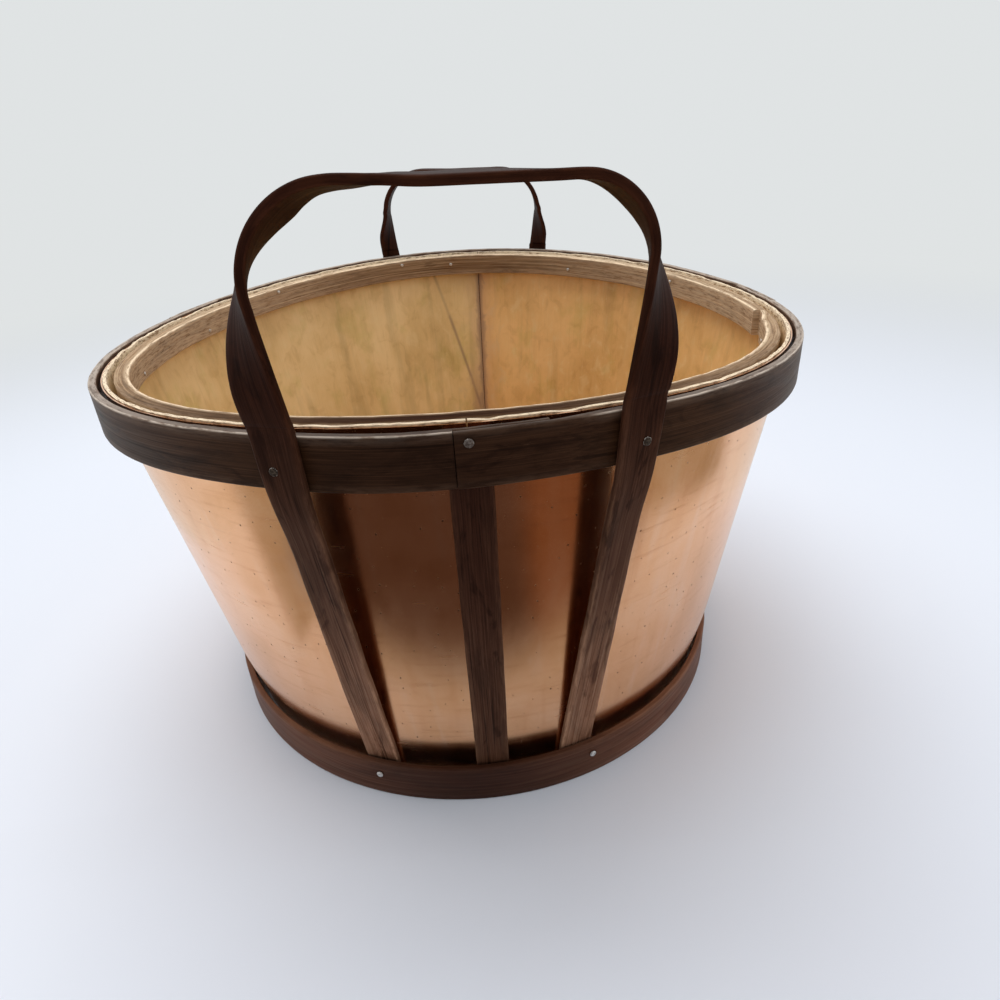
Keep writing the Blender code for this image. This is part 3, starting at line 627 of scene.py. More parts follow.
def leg_frames(size, side):
    """Guide edge points, width directions and widths of one half of a handle, as in the CAD model."""
    frames = []
    hoop_foot = RIM_HEIGHT - RIM_HOOP_HEIGHT - STRIP_TUCK
    bend = BOTTOM_HOOP_HEIGHT + STRIP_TUCK
    rows = [(STRIP_FOOT, 0.0, STRIP_WIDTH, 0.0)]
    for share, turn, width, bow in LEG_ROWS:
        rows.append((bend + (hoop_foot - bend) * share, turn, width, bow))
    rows.append((RIM_HEIGHT, 0.0, size.waist[0], size.waist[2]))
    for height, turn, width, bow in rows:
        bearing = leg_bearing(size, side, height)
        away = sideways(bearing) * side
        centre = place(bearing, leg_face_radius(bearing, height), height)
        turned_away = away * math.cos(math.radians(turn)) - outward(bearing) * math.sin(math.radians(turn))
        frames.append((centre - away * (STRIP_WIDTH / 2.0 + bow), turned_away, width))
    rim_point, rim_away, rim_width = frames[-1]
    across = sideways(size.bearing)
    out = outward(size.bearing)
    rim_u = rim_point.dot(across)
    rim_v = rim_point.dot(out)
    rim_twist = math.atan2(-rim_away.dot(out), side * rim_away.dot(across))
    middle_height = size.rise - size.sag - STRIP_THICKNESS
    underside = size.rise - side * size.tilt - STRIP_THICKNESS
    radius = size.corners[0 if side < 0.0 else 1] - STRIP_THICKNESS
    shoulder = underside - radius
    shoulder_u = rim_u + side * size.spread_gain + size.sway
    path = []
    risers = 9
    for i in range(1, risers + 1):
        share = i / risers
        path.append((rim_u + (shoulder_u - rim_u) * share, shoulder * share, 0.0, 1.0))
    turns = 7
    for i in range(1, turns + 1):
        angle = math.radians(90.0 * i / turns)
        along = shoulder_u - side * radius * (1.0 - math.cos(angle))
        kept = 1.0 - 0.5 * smooth_step((angle - math.pi / 4.0) / (math.pi / 4.0))
        path.append((along, shoulder + radius * math.sin(angle), angle, kept))
    arch_end = path[-1][0]
    for share in (0.2, 0.5, 0.8):
        height = underside + (middle_height - underside) * smooth_step(share)
        kept = 0.5 - 0.5 * smooth_step(share / 0.7)
        path.append((arch_end + (size.sway - arch_end) * share, height, math.pi / 2.0, kept))
    twist_start, twist_end, twist_past = size.twist[0 if side < 0.0 else 1]
    for along, height, turn, kept in path:
        share = smooth_step((height - twist_start) / (twist_end - twist_start))
        twist = rim_twist + (math.pi / 2.0 + math.radians(twist_past) * kept - rim_twist) * share
        outside = across * side * math.cos(turn) + Vector((0.0, 0.0, math.sin(turn)))
        away = outside * math.cos(twist) - out * math.sin(twist)
        point = across * along + out * (rim_v + size.lean * height) + Vector((0.0, 0.0, RIM_HEIGHT + height))
        fade = smooth_step(height / size.waist[1])
        frames.append((point, away, rim_width + (STRIP_WIDTH - rim_width) * fade))
    return frames


def blend_four(before, first, second, after, share):
    """Smooth curve through the two middle values."""
    a = first * 2.0
    b = (second - before) * share
    c = (before * 2.0 - first * 5.0 + second * 4.0 - after) * share ** 2
    d = (first * 3.0 - before - second * 3.0 + after) * share ** 3
    return (a + b + c + d) * 0.5


def fine_frames(frames):
    """Put more frames between the given ones, on a smooth curve through them."""
    result = []
    last = len(frames) - 1
    for i in range(last):
        group = [frames[max(i - 1, 0)], frames[i], frames[i + 1], frames[min(i + 2, last)]]
        for step in range(FRAME_STEPS):
            share = step / FRAME_STEPS
            result.append([blend_four(*[frame[k] for frame in group], share) for k in range(3)])
    result.append(frames[last])
    return result


def handle(node, size, seed, finish):
    """Bent strip: two legs, a quarter twist in each, and the arch between them."""
    piece = Piece(node)
    frames = fine_frames(leg_frames(size, -1.0) + leg_frames(size, 1.0)[::-1])
    points = [point for point, away, width in frames]
    along = 0.0
    rings = []
    for i, (point, away, width) in enumerate(frames):
        ahead = points[min(i + 1, len(points) - 1)]
        behind = points[max(i - 1, 0)]
        if i:
            along += (point - points[i - 1]).length
        tangent = (ahead - behind).normalized()
        across_way = (away - tangent * away.dot(tangent)).normalized()
        normal = tangent.cross(across_way)
        ring = []
        for across, depth, wear in rounded_section(width, STRIP_THICKNESS, STRIP_EDGE, 8):
            inset = STRIP_EDGE_WAVE * (1.0 + ripple(along * 40.0, across * 200.0, seed))
            inset += STRIP_CHIP * max(0.0, ripple(along * 130.0, across * 90.0, seed + 0.4) - 0.35)
            if across < width * 0.1:
                across += inset
            elif across > width * 0.9:
                across -= inset
            hollow = SLACK + STRIP_FACE_WAVE * (1.0 + ripple(along * 30.0, across * 250.0, seed + 0.7))
            depth += hollow if depth < STRIP_THICKNESS / 2.0 else -hollow
            # Over the arch the stain share is partly painted shade.
            ring.append(piece.add(
                point + across_way * across + normal * depth,
                (along + 3.1 * seed, across, depth), (wear, 0.0, leg_stain_and_shade(point.z)),
            ))
        rings.append(ring)
    piece.strip(rings, 0.5)
    piece.make(finish)


def nail(node, seat, axis, radius, height, seed, finish):
    """Nail head, slightly domed and not quite round, with the top of its shank."""
    piece = Piece(node)
    side = axis.orthogonal().normalized()
    up = axis.cross(side)
    profile = (
        (0.4, 2.2), (0.42, 0.1), (0.94, 0.0), (1.0, -0.3), (0.97, -0.62), (0.84, -0.86), (0.5, -0.98),
    )
    rings = []
    for share, along in profile:
        ring = []
        for i in range(NAIL_SIDES):
            angle = 2.0 * math.pi * i / NAIL_SIDES
            uneven = 1.0 - 0.05 * (1.0 + ripple(math.cos(angle) * 1.5, math.sin(angle) * 1.5, seed))
            spoke = (side * math.cos(angle) + up * math.sin(angle)) * radius * share * uneven
            point = seat + axis * along * height + spoke
            ring.append(piece.add(point, (spoke.dot(side) + seed, spoke.dot(up), 0.0), (share, 0.0, 0.0)))
        rings.append(ring)
    piece.skin(rings)
    piece.faces.append(tuple(rings[0]))
    tip = piece.add(seat - axis * height, (seed, 0.0, 0.0))
    last = rings[-1]
    for i in range(NAIL_SIDES):
        piece.faces.append((last[i], last[(i + 1) % NAIL_SIDES], tip))
    piece.make(finish, 70.0)


# Materials

class Nodes:
    """Short calls for building a node tree."""

    def __init__(self, tree):
        self.tree = tree
        self.tree.nodes.clear()

    def feed(self, socket, value):
        """Link a socket to another, or give it a constant."""
        if isinstance(value, bpy.types.NodeSocket):
            self.tree.links.new(value, socket)
        elif socket.type == "RGBA" and len(value) == 3:
            socket.default_value = (*value, 1.0)
        else:
            socket.default_value = value

    def node(self, kind, inputs=None, **settings):
        """New node with its settings made and its inputs fed."""
        node = self.tree.nodes.new("ShaderNode" + kind)
        for name, value in settings.items():
            setattr(node, name, value)
        for key, value in (inputs or {}).items():
            self.feed(node.inputs[key], value)
        return node

    def attribute(self, name):
        """Vector stored on the mesh."""
        return self.node("Attribute", attribute_name=name).outputs["Vector"]

    def split(self, vector):
        """The three parts of a vector."""
        return tuple(self.node("SeparateXYZ", {0: vector}).outputs)

    def scaled(self, vector, scale, turn=0.0):
        """Vector turned about its third axis and scaled."""
        return self.node("Mapping", {
            "Vector": vector, "Scale": scale, "Rotation": (0.0, 0.0, math.radians(turn)),
        }).outputs["Vector"]

    def noise(self, vector, scale, detail, rough, distortion=0.0, turn=0.0):
        """Noise between 0 and 1 on a scaled vector."""
        return self.node("TexNoise", {
            "Vector": self.scaled(vector, scale, turn), "Scale": 1.0,
            "Detail": detail, "Roughness": rough, "Distortion": distortion,
        }).outputs["Fac"]

    def cells(self, vector, scale):
        """Distance to scattered points, and a random colour for each."""
        node = self.node("TexVoronoi", {"Vector": vector, "Scale": scale}, voronoi_dimensions="2D")
        return node.outputs["Distance"], node.outputs["Color"]

    def fit(self, value, low, high, new_low=0.0, new_high=1.0):
        """Value eased from one range to another, and held at its ends."""
        return self.node("MapRange", {
            "Value": value, "From Min": low, "From Max": high, "To Min": new_low, "To Max": new_high,
        }, interpolation_type="SMOOTHSTEP").outputs["Result"]

    def math(self, operation, first, second=0.0):
        """Result of one operation on two values."""
        return self.node("Math", {0: first, 1: second}, operation=operation).outputs[0]

    def times(self, first, second):
        """Product of two values."""
        return self.math("MULTIPLY", first, second)

    def ramp(self, factor, colors):
        """Colour from evenly spaced colours."""
        node = self.node("ValToRGB", {"Fac": factor})
        elements = node.color_ramp.elements
        while len(elements) < len(colors):
            elements.new(0.5)
        for i, (element, color) in enumerate(zip(elements, colors)):
            element.position = i / (len(colors) - 1)
            element.color = (*color, 1.0)
        return node.outputs["Color"]

    def mix(self, factor, first, second, blend="MIX"):
        """Mix of two colours."""
        inputs = {0: factor, 6: first, 7: second}
        return self.node("Mix", inputs, data_type="RGBA", blend_type=blend).outputs[2]

    def tint(self, color, value, low, high, share, other, blend="MULTIPLY"):
        """Colour changed towards another, by nothing at a low value and by a share at a high one."""
        return self.mix(self.fit(value, low, high, 0.0, share), color, other, blend)


class Shader(Nodes):
    """Node material with one main surface."""

    def __init__(self, name):
        self.material = bpy.data.materials.new(name)
        self.material.use_nodes = True
        super().__init__(self.material.node_tree)
        self.surface = self.node("BsdfPrincipled")
        self.output = self.node("OutputMaterial", {"Surface": self.surface.outputs["BSDF"]})

    def bump(self, height, strength, distance):
        """Surface relief."""
        node = self.node("Bump", {"Height": height, "Strength": strength, "Distance": distance})
        self.feed(self.surface.inputs["Normal"], node.outputs["Normal"])

    def set(self, **values):
        """Feed the surface's own sockets."""
        names = {"color": "Base Color", "roughness": "Roughness", "metallic": "Metallic",
                 "specular": "Specular IOR Level"}
        for key, value in values.items():
            self.feed(self.surface.inputs[names[key]], value)


def wood_material(name, colors, worn, pale, gloss, wear_amount, streak, fine, relief, patch, specular, crack):
    """Wood with long fibres, darker patches, cracks, pores and worn edges."""
    shader = Shader(name)
    grain = shader.attribute("grain")
    wear, pale_share, stain_and_shade = shader.split(shader.attribute("tone"))
    fibres = shader.noise(grain, (streak, fine, fine), 6.0, 0.68, 0.3)
    lines = shader.noise(grain, (streak, fine * 0.3, fine * 0.3), 5.0, 0.6, 1.2)
    patches = shader.noise(grain, (16.0, 55.0, 55.0), 6.0, 0.7, 0.8)
    pores = shader.noise(grain, (60.0, 2600.0, 2600.0), 2.0, 0.5)
    combined = shader.math("ADD", shader.times(fibres, 0.6), shader.times(lines, 0.2))
    combined = shader.math("ADD", combined, shader.times(patches, 0.2))
    color = shader.ramp(shader.fit(combined, 0.32, 0.68), colors)
    color = shader.tint(color, patches, 0.4, 0.68, patch, (0.40, 0.36, 0.34))
    color = shader.tint(color, pores, 0.34, 0.26, 0.7, (0.25, 0.22, 0.2))
    cracks = shader.noise(grain, (7.0, 430.0, 430.0), 3.0, 0.6, 0.5)
    color = shader.tint(color, cracks, 0.38, 0.33, crack, (0.22, 0.18, 0.16))
    blots = shader.noise(grain, (26.0, 90.0, 90.0), 4.0, 0.6, 1.0)
    color = shader.tint(color, blots, 0.55, 0.66, crack, (0.45, 0.38, 0.34))
    chafed = shader.noise(grain, (70.0, 380.0, 380.0), 5.0, 0.7)
    worn_share = shader.times(wear, shader.fit(chafed, 0.42, 0.62, 0.12, wear_amount))
    scuffs = shader.times(shader.fit(chafed, 0.66, 0.74), shader.fit(fibres, 0.5, 0.6, 0.0, 0.35))
    color = shader.mix(shader.math("MAXIMUM", worn_share, scuffs), color, worn)
    pale_noise = shader.fit(shader.noise(grain, (90.0, 700.0, 700.0), 5.0, 0.7), 0.38, 0.54, 0.25, 1.0)
    # Pale share: real paleness, plus a painted highlight on the rim hoop's top outer corner and painted light
    # on the inner hoop's sides.
    color = shader.mix(shader.times(pale_share, pale_noise), color, pale)
    # Stain share: real stain, plus painted shade on the rim hoop's front, the inner hoop's rear and the
    # handles' arches.
    color = shader.mix(stain_and_shade, color, (0.115, 0.058, 0.036), "MULTIPLY")
    shader.set(color=color, roughness=shader.fit(combined, 0.3, 0.7, gloss + 0.12, gloss - 0.08),
               specular=specular)
    height = shader.math("SUBTRACT", combined, shader.fit(pores, 0.34, 0.26, 0.0, 0.3))
    shader.bump(height, relief, 0.6 * MM)
    return shader.material


def veneer_material():
    """Golden tan lining with faint upright streaks, stains by the rear seam and pale edges."""
    shader = Shader("wood_veneer")
    grain = shader.attribute("grain")
    pale_share = shader.split(shader.attribute("tone"))[1]
    along, height = shader.split(grain)[:2]
    streaks = shader.noise(grain, (55.0, 5.0, 0.0), 4.0, 0.55, 0.5)
    fibres = shader.noise(grain, (900.0, 24.0, 0.0), 4.0, 0.6)
    clouds = shader.noise(grain, (14.0, 9.0, 0.0), 4.0, 0.6)
    specks = shader.noise(grain, (380.0, 380.0, 0.0), 3.0, 0.6)
    color = shader.ramp(shader.fit(clouds, 0.3, 0.7), (
        (0.67, 0.45, 0.19), (0.765, 0.53, 0.24), (0.84, 0.605, 0.30),
    ))
    color = shader.tint(color, along, -0.02, 0.02, 1.0, (0.98, 0.83, 0.68))
    mottle = shader.noise(grain, (85.0, 60.0, 0.0), 5.0, 0.6, 0.6, turn=9.0)
    color = shader.tint(color, mottle, 0.5, 0.68, 0.5, (0.80, 0.74, 0.66))
    color = shader.tint(color, mottle, 0.48, 0.3, 0.35, (0.82, 0.62, 0.32), "MIX")
    olive = shader.noise(grain, (30.0, 22.0, 0.0), 4.0, 0.6, turn=23.0)
    color = shader.tint(color, olive, 0.5, 0.7, 0.6, (0.78, 0.84, 0.62))
    color = shader.tint(color, streaks, 0.5, 0.72, 0.42, (0.62, 0.60, 0.55))
    color = shader.tint(color, streaks, 0.42, 0.25, 0.35, (0.72, 0.50, 0.24), "MIX")
    color = shader.tint(color, fibres, 0.5, 0.75, 0.25, (0.7, 0.62, 0.5))
    color = shader.tint(color, specks, 0.62, 0.7, 0.25, (0.75, 0.58, 0.35), "MIX")
    seam = math.radians(BACK_SEAM_ANGLE) * RIM_RADIUS
    for centre in (seam, seam - 2.0 * math.pi * RIM_RADIUS):
        offset = shader.math("SUBTRACT", along, centre)
        distance = shader.math("ABSOLUTE", offset)
        wobble = shader.times(distance, shader.fit(mottle, 0.3, 0.7, 0.6, 1.5))
        color = shader.tint(color, wobble, 22.0 * MM, 2.0 * MM, 0.3, (0.42, 0.22, 0.15), "MIX")
        color = shader.tint(color, wobble, 6.0 * MM, 0.8 * MM, 0.6, (0.17, 0.085, 0.07), "MIX")
        slant = shader.math("SUBTRACT", offset, shader.times(height, 0.32))
        slant = shader.math("ABSOLUTE", shader.math("SUBTRACT", slant, SLANT_STAIN))
        patchy = shader.fit(olive, 0.35, 0.5, 0.35, 0.75)
        beside = shader.fit(offset, 2.0 * MM, 6.0 * MM)
        near_seam = shader.times(beside, shader.fit(distance, 0.09, 0.06))
        slant = shader.times(shader.times(shader.fit(slant, 2.6 * MM, 0.0), patchy), near_seam)
        color = shader.mix(slant, color, (0.30, 0.19, 0.11))
        blotch = shader.times(beside, shader.fit(wobble, 24.0 * MM, 6.0 * MM, 0.0, 0.4))
        blotch = shader.times(blotch, shader.fit(height, 0.17, 0.10))
        color = shader.mix(blotch, color, (0.24, 0.12, 0.085))
    ragged = shader.noise(grain, (210.0, 900.0, 900.0), 4.0, 0.65)
    edge_color = shader.mix(shader.fit(ragged, 0.38, 0.52), (0.26, 0.15, 0.085), (0.84, 0.68, 0.47))
    color = shader.mix(pale_share, color, edge_color)
    shader.set(color=color, roughness=shader.fit(clouds, 0.3, 0.7, 0.42, 0.58), specular=0.35)
    shader.bump(shader.math("ADD", fibres, shader.times(streaks, 2.0)), 0.12, 0.5 * MM)
    return shader.material


def copper_material():
    """Polished copper with faint marks, pits and slow changes of tone."""
    shader = Shader("polished_copper")
    grain = shader.attribute("grain")
    clouds = shader.noise(grain, (16.0, 13.0, 0.0), 5.0, 0.6, 0.4)
    marks = shader.noise(grain, (22.0, 260.0, 0.0), 4.0, 0.65, turn=4.0)
    fine = shader.noise(grain, (900.0, 1100.0, 0.0), 3.0, 0.6)
    color = shader.ramp(shader.fit(clouds, 0.28, 0.72), (
        (0.79, 0.41, 0.195), (0.885, 0.485, 0.26), (0.93, 0.55, 0.325),
    ))
    color = shader.tint(color, marks, 0.52, 0.72, 0.35, (0.80, 0.68, 0.56))
    drips = shader.noise(grain, (70.0, 9.0, 0.0), 4.0, 0.55, 0.4, turn=31.0)
    color = shader.tint(color, drips, 0.52, 0.7, 0.35, (0.86, 0.74, 0.62))
    color = shader.tint(color, drips, 0.45, 0.3, 0.3, (0.90, 0.60, 0.42), "MIX")
    distance, chance = shader.cells(shader.scaled(grain, (1.0, 0.8, 1.0), 12.0), 92.0)
    size_chance, depth_chance = shader.split(chance)[:2]
    size = shader.fit(size_chance, 0.0, 1.0, 0.02, 0.062)
    uneven = shader.times(distance, shader.fit(fine, 0.3, 0.7, 0.7, 1.6))
    pits = shader.fit(uneven, size, shader.times(size, 0.4), 0.0, 1.0)
    pits = shader.times(pits, shader.fit(depth_chance, 0.1, 0.3))
    color = shader.mix(shader.times(pits, 0.9), color, (0.06, 0.03, 0.02))
    scratch = shader.noise(grain, (30.0, 1600.0, 0.0), 2.0, 0.5, turn=17.0)
    color = shader.tint(color, scratch, 0.72, 0.78, 0.5, (0.95, 0.72, 0.55), "MIX")
    rough = shader.fit(clouds, 0.3, 0.7, 0.17, 0.25)
    rough = shader.math("ADD", rough, shader.fit(marks, 0.5, 0.75, 0.0, 0.06))
    rough = shader.math("ADD", rough, shader.times(pits, 0.4))
    shader.set(color=color, roughness=rough, metallic=1.0)
    height = shader.math("SUBTRACT", shader.times(marks, 0.12), pits)
    height = shader.math("ADD", height, shader.times(fine, 0.03))
    shader.bump(height, 0.25, 0.25 * MM)
    return shader.material


def steel_material(name, *colors):
    """Nail steel with small dents, brightest in patches round the edge of the head."""
    shader = Shader(name)
    wear = shader.split(shader.attribute("tone"))[0]
    dents = shader.noise(shader.attribute("grain"), (900.0, 900.0, 900.0), 4.0, 0.6)
    color = shader.ramp(shader.fit(dents, 0.3, 0.7), colors)
    bright_edge = shader.times(shader.fit(wear, 0.9, 0.98), shader.fit(dents, 0.48, 0.56, 0.0, 0.8))
    color = shader.mix(bright_edge, color, (0.75, 0.70, 0.64))
    shader.set(color=color, roughness=shader.fit(dents, 0.3, 0.7, 0.5, 0.32), metallic=0.7)
    shader.bump(dents, 0.4, 0.2 * MM)
    return shader.material


HOOP_WOOD = wood_material(
    "stained_wood", ((0.041, 0.0155, 0.006), (0.075, 0.031, 0.013), (0.115, 0.055, 0.026)),
    worn=(0.24, 0.14, 0.085), pale=(0.72, 0.62, 0.52), gloss=0.42, wear_amount=0.6,
    streak=12.0, fine=1500.0, relief=0.2, patch=0.8, specular=0.07, crack=0.6,
)
LEG_WOOD = wood_material(
    "stained_wood_leg", ((0.135, 0.057, 0.030), (0.245, 0.118, 0.069), (0.375, 0.218, 0.138)),
    worn=(0.62, 0.36, 0.22), pale=(0.30, 0.2, 0.13), gloss=0.52, wear_amount=0.6,
    streak=15.0, fine=1500.0, relief=0.22, patch=0.7, specular=0.05, crack=0.8,
)
BASE_WOOD = wood_material(
    "stained_wood_base", ((0.095, 0.030, 0.014), (0.155, 0.062, 0.034), (0.235, 0.118, 0.074)),
    worn=(0.30, 0.15, 0.09), pale=(0.3, 0.15, 0.09), gloss=0.45, wear_amount=0.4,
    streak=9.0, fine=1000.0, relief=0.15, patch=0.5, specular=0.1, crack=0.3,
)
WEATHERED_WOOD = wood_material(
    "weathered_wood", ((0.085, 0.041, 0.020), (0.275, 0.158, 0.080), (0.56, 0.39, 0.23)),
    worn=(0.55, 0.40, 0.27), pale=(0.85, 0.67, 0.47), gloss=0.65, wear_amount=0.6,
    streak=10.0, fine=1300.0, relief=0.8, patch=0.5, specular=0.02, crack=0.5,
)
BOARD_WOOD = wood_material(
    "board_wood", ((0.26, 0.16, 0.08), (0.42, 0.28, 0.15), (0.52, 0.36, 0.21)),
    worn=(0.5, 0.36, 0.22), pale=(0.6, 0.44, 0.28), gloss=0.6, wear_amount=0.4,
    streak=9.0, fine=260.0, relief=0.3, patch=0.25, specular=0.3, crack=0.3,
)
VENEER = veneer_material()
COPPER = copper_material()
STEEL = steel_material("nail_steel", (0.36, 0.34, 0.32), (0.62, 0.61, 0.59), (0.80, 0.79, 0.78))
DULL_STEEL = steel_material("nail_steel_dull", (0.10, 0.08, 0.07), (0.20, 0.17, 0.15), (0.34, 0.31, 0.28))
DARK_STEEL = steel_material(
    "nail_steel_dark", (0.020, 0.014, 0.011), (0.05, 0.037, 0.030), (0.12, 0.09, 0.07),
)


# Pieces

left_half = (BACK_SEAM_ANGLE - 360.0, FRONT_SEAM_ANGLE)
right_half = (FRONT_SEAM_ANGLE, BACK_SEAM_ANGLE)
for label, (first_angle, last_angle), number in (("left", left_half, 1.0), ("right", right_half, 2.0)):
    wall_sheet(
        "veneer_lining_" + label, first_angle, last_angle, lining_inside, lining_outside,
        below_rim=WALL_BELOW_RIM, ragged=0.7 * MM, seed=number, finish=VENEER,
    )
    wall_sheet(
        "copper_sheet_" + label, first_angle, last_angle, copper_inside, copper_outside,
        below_rim=WALL_BELOW_RIM + COPPER_BELOW_LINING, ragged=0.15 * MM, seed=number + 4.0,
        finish=COPPER,
    )

stave("front_stave", FRONT_SEAM_ANGLE, 1.0, LEG_WOOD)
stave("back_stave", BACK_SEAM_ANGLE, 2.0, LEG_WOOD)
floor_board("bottom_board", BOARD_WOOD)


def lap_length(angles):
    """Angle that a lap covers, with a little more for its fit."""
    return angles[1] - angles[0] + angle_of(FIT_GAP, RIM_RADIUS)


front_lap = lap_length(RIM_LAP_FRONT_ANGLES)
right_lap = lap_length(RIM_LAP_RIGHT_ANGLES)
left_lap = lap_length(RIM_LAP_LEFT_ANGLES)
rim_strips = (
    ("rim_hoop_front_right", RIM_LAP_FRONT_ANGLES[0], RIM_LAP_RIGHT_ANGLES[1],
     ((front_lap, True), (right_lap, False)), 3.0),
    ("rim_hoop_back", RIM_LAP_RIGHT_ANGLES[0], RIM_LAP_LEFT_ANGLES[1],
     ((right_lap, True), (left_lap, True)), 4.0),
    ("rim_hoop_front_left", RIM_LAP_LEFT_ANGLES[0] - 360.0, RIM_LAP_FRONT_ANGLES[1],
     ((left_lap, False), (front_lap, False)), 5.0),
)
for node_name, first_angle, last_angle, laps, number in rim_strips:
    lapped_band(
        node_name, first_angle, last_angle, laps, step=LAP_STEP, size_at=rim_hoop_size,
        edge=0.9 * MM, rough=0.5 * MM, tone_at=rim_hoop_tone, seed=number,
        finish=HOOP_WOOD,
    )
inner_lap = lap_length(INNER_LAP_ANGLES)
lapped_band(
    "rim_hoop_inner", INNER_LAP_ANGLES[0], INNER_LAP_ANGLES[1] + 360.0,
    ((inner_lap, False), (inner_lap, True)), step=0.0, size_at=inner_hoop_size,
    edge=1.0 * MM, rough=0.7 * MM, tone_at=inner_hoop_tone, seed=6.0,
    finish=WEATHERED_WOOD,
)
bottom_lap = lap_length(BOTTOM_LAP_ANGLES)
lapped_band(
    "bottom_hoop", BOTTOM_LAP_ANGLES[0], BOTTOM_LAP_ANGLES[1] + 360.0,
    ((bottom_lap, True), (bottom_lap, False)), step=LAP_STEP, size_at=bottom_hoop_size,
    edge=0.9 * MM, rough=0.3 * MM, tone_at=bottom_hoop_tone, seed=7.0,
    finish=BASE_WOOD,
)

handle("front_handle", FRONT_HANDLE, 8.0, LEG_WOOD)
handle("rear_handle", REAR_HANDLE, 9.0, LEG_WOOD)


def outside_nail(node, bearing, surface, height, seed, finish=STEEL, head_height=NAIL_HEAD_HEIGHT):
    """Nail driven towards the axis."""
    seat = place(bearing, surface + FIT_GAP, height)
    nail(node, seat, -outward(bearing), NAIL_HEAD, head_height, seed, finish)


outside_nail("rim_lap_nail_front", FRONT_SEAM_ANGLE, RIM_RADIUS + LAP_STEP,
             rim_height(FRONT_SEAM_ANGLE) - LAP_NAIL_BELOW_RIM, 1.0, DULL_STEEL)
for label, lap, number in (("right", RIM_LAP_RIGHT_ANGLES, 2.0), ("left", RIM_LAP_LEFT_ANGLES, 3.0)):
    middle = sum(lap) / 2.0
    outside_nail("rim_lap_nail_" + label, middle, RIM_RADIUS + LAP_STEP,
                 rim_height(middle) - SIDE_NAIL_BELOW_RIM, number, DULL_STEEL)
for label, size in (("front", FRONT_HANDLE), ("rear", REAR_HANDLE)):
    for side, side_label, offset in zip((-1.0, 1.0), ("a", "b"), size.foot_nails):
        nail_height = RIM_HEIGHT - LEG_NAIL_BELOW_RIM
        outside_nail("leg_nail_%s_%s" % (label, side_label), leg_bearing(size, side, nail_height),
                     RIM_RADIUS + FIT_GAP + STRIP_THICKNESS, nail_height, 4.0 + side, DARK_STEEL,
                     NAIL_HEAD_HEIGHT * 0.4)
        foot_bearing = leg_bearing(size, side, FOOT_NAIL_HEIGHT) + offset
        outside_nail("foot_nail_%s_%s" % (label, side_label), foot_bearing, BASE_RADIUS,
                     FOOT_NAIL_HEIGHT, 7.0 + side)
for label, bearing in (("a", BOTTOM_LAP_ANGLES[0] + BASE_LAP_NAIL_INSET),
                       ("b", BOTTOM_LAP_ANGLES[1] - BASE_LAP_NAIL_INSET)):
    outside_nail("base_lap_nail_" + label, bearing, BASE_RADIUS + LAP_STEP, FOOT_NAIL_HEIGHT, 9.0)
for i, (bearing, depth_below) in enumerate(BRADS):
    seat = place(bearing, inner_hoop_size(bearing)[0] - FIT_GAP, rim_height(bearing) - depth_below)
    nail("rim_brad_%02d" % (i + 1), seat, outward(bearing), BRAD_HEAD, BRAD_HEAD_HEIGHT, 11.0 + i, STEEL)


# Setting

BACKDROP = (0.745, 0.77, 0.775)
BACKGROUND = (0.81, 0.835, 0.85)
FLOOR_COLOR = (0.775, 0.81, 0.885)
LIGHT_COLOR = (0.97, 0.985, 1.0)
LIGHT_STRENGTH = 0.62
LIGHT_AIM = Vector((0.0, 0.0, 0.15))
ROOM_COLOR = (0.076, 0.046, 0.037)
WARM_ROOM_COLOR = (0.185, 0.095, 0.055)
TABLE_COLOR = (0.46, 0.46, 0.46)
DIM_COLOR = (0.40, 0.36, 0.28)
TABLE_EDGE = -0.228
SIDE_WALL = 0.36
WALL_END = 0.8
WALL_TOP = 0.9
ROOM_REACH = 1.6
ROOM_TOP = 1.3
FLOOR_REACH = 6.0
ROOM_CARD_HEIGHT = 0.001
DIM_CARD_HEIGHT = 0.0005


def floor_material():
    """Pale floor that runs out into the background's colour far from the basket."""
    shader = Shader("pale_floor")
    shader.set(color=FLOOR_COLOR, roughness=0.6, specular=0.2)
    place_at = shader.node("TexCoord").outputs["Object"]
    length = shader.node("VectorMath", {0: place_at}, operation="LENGTH").outputs["Value"]
    glow = shader.node("Emission", {"Color": BACKDROP})
    blend = shader.node("MixShader", {
        0: shader.fit(length, 0.5, 1.7), 1: shader.surface.outputs["BSDF"], 2: glow.outputs[0],
    })
    shader.feed(shader.output.inputs["Surface"], blend.outputs[0])
    return shader.material


def flat_panel(name, corners, finish):
    """One flat face."""
    mesh = bpy.data.meshes.new(name)
    mesh.from_pydata(corners, [], [tuple(range(len(corners)))])
    mesh.materials.append(finish)
    result = new_object(name, mesh)
    return result


def card(name, corners, color):
    """Card that only shows in reflections; color is plain, or a function that makes it from a shader."""
    shader = Shader(name)
    glow = shader.node("Emission", {"Color": color(shader) if callable(color) else color})
    shader.feed(shader.output.inputs["Surface"], glow.outputs[0])
    panel = flat_panel(name, corners, shader.material)
    panel.visible_camera = False
    panel.visible_diffuse = False
    panel.visible_shadow = False
    panel.visible_transmission = False


def room_color(shader):
    """Dark room in front of the table, warmer on the right, that starts softly at the table's edge."""
    x, y = shader.split(shader.node("TexCoord").outputs["Object"])[:2]
    across = shader.math("ADD", x, shader.times(y, 0.325))
    color = shader.mix(shader.fit(across, -0.022, 0.022), ROOM_COLOR, WARM_ROOM_COLOR)
    return shader.mix(shader.fit(y, TABLE_EDGE - 0.05, TABLE_EDGE + 0.014), color, TABLE_COLOR)


def level(height, *corners):
    """Corners of a level panel."""
    return [(x, y, height) for x, y in corners]


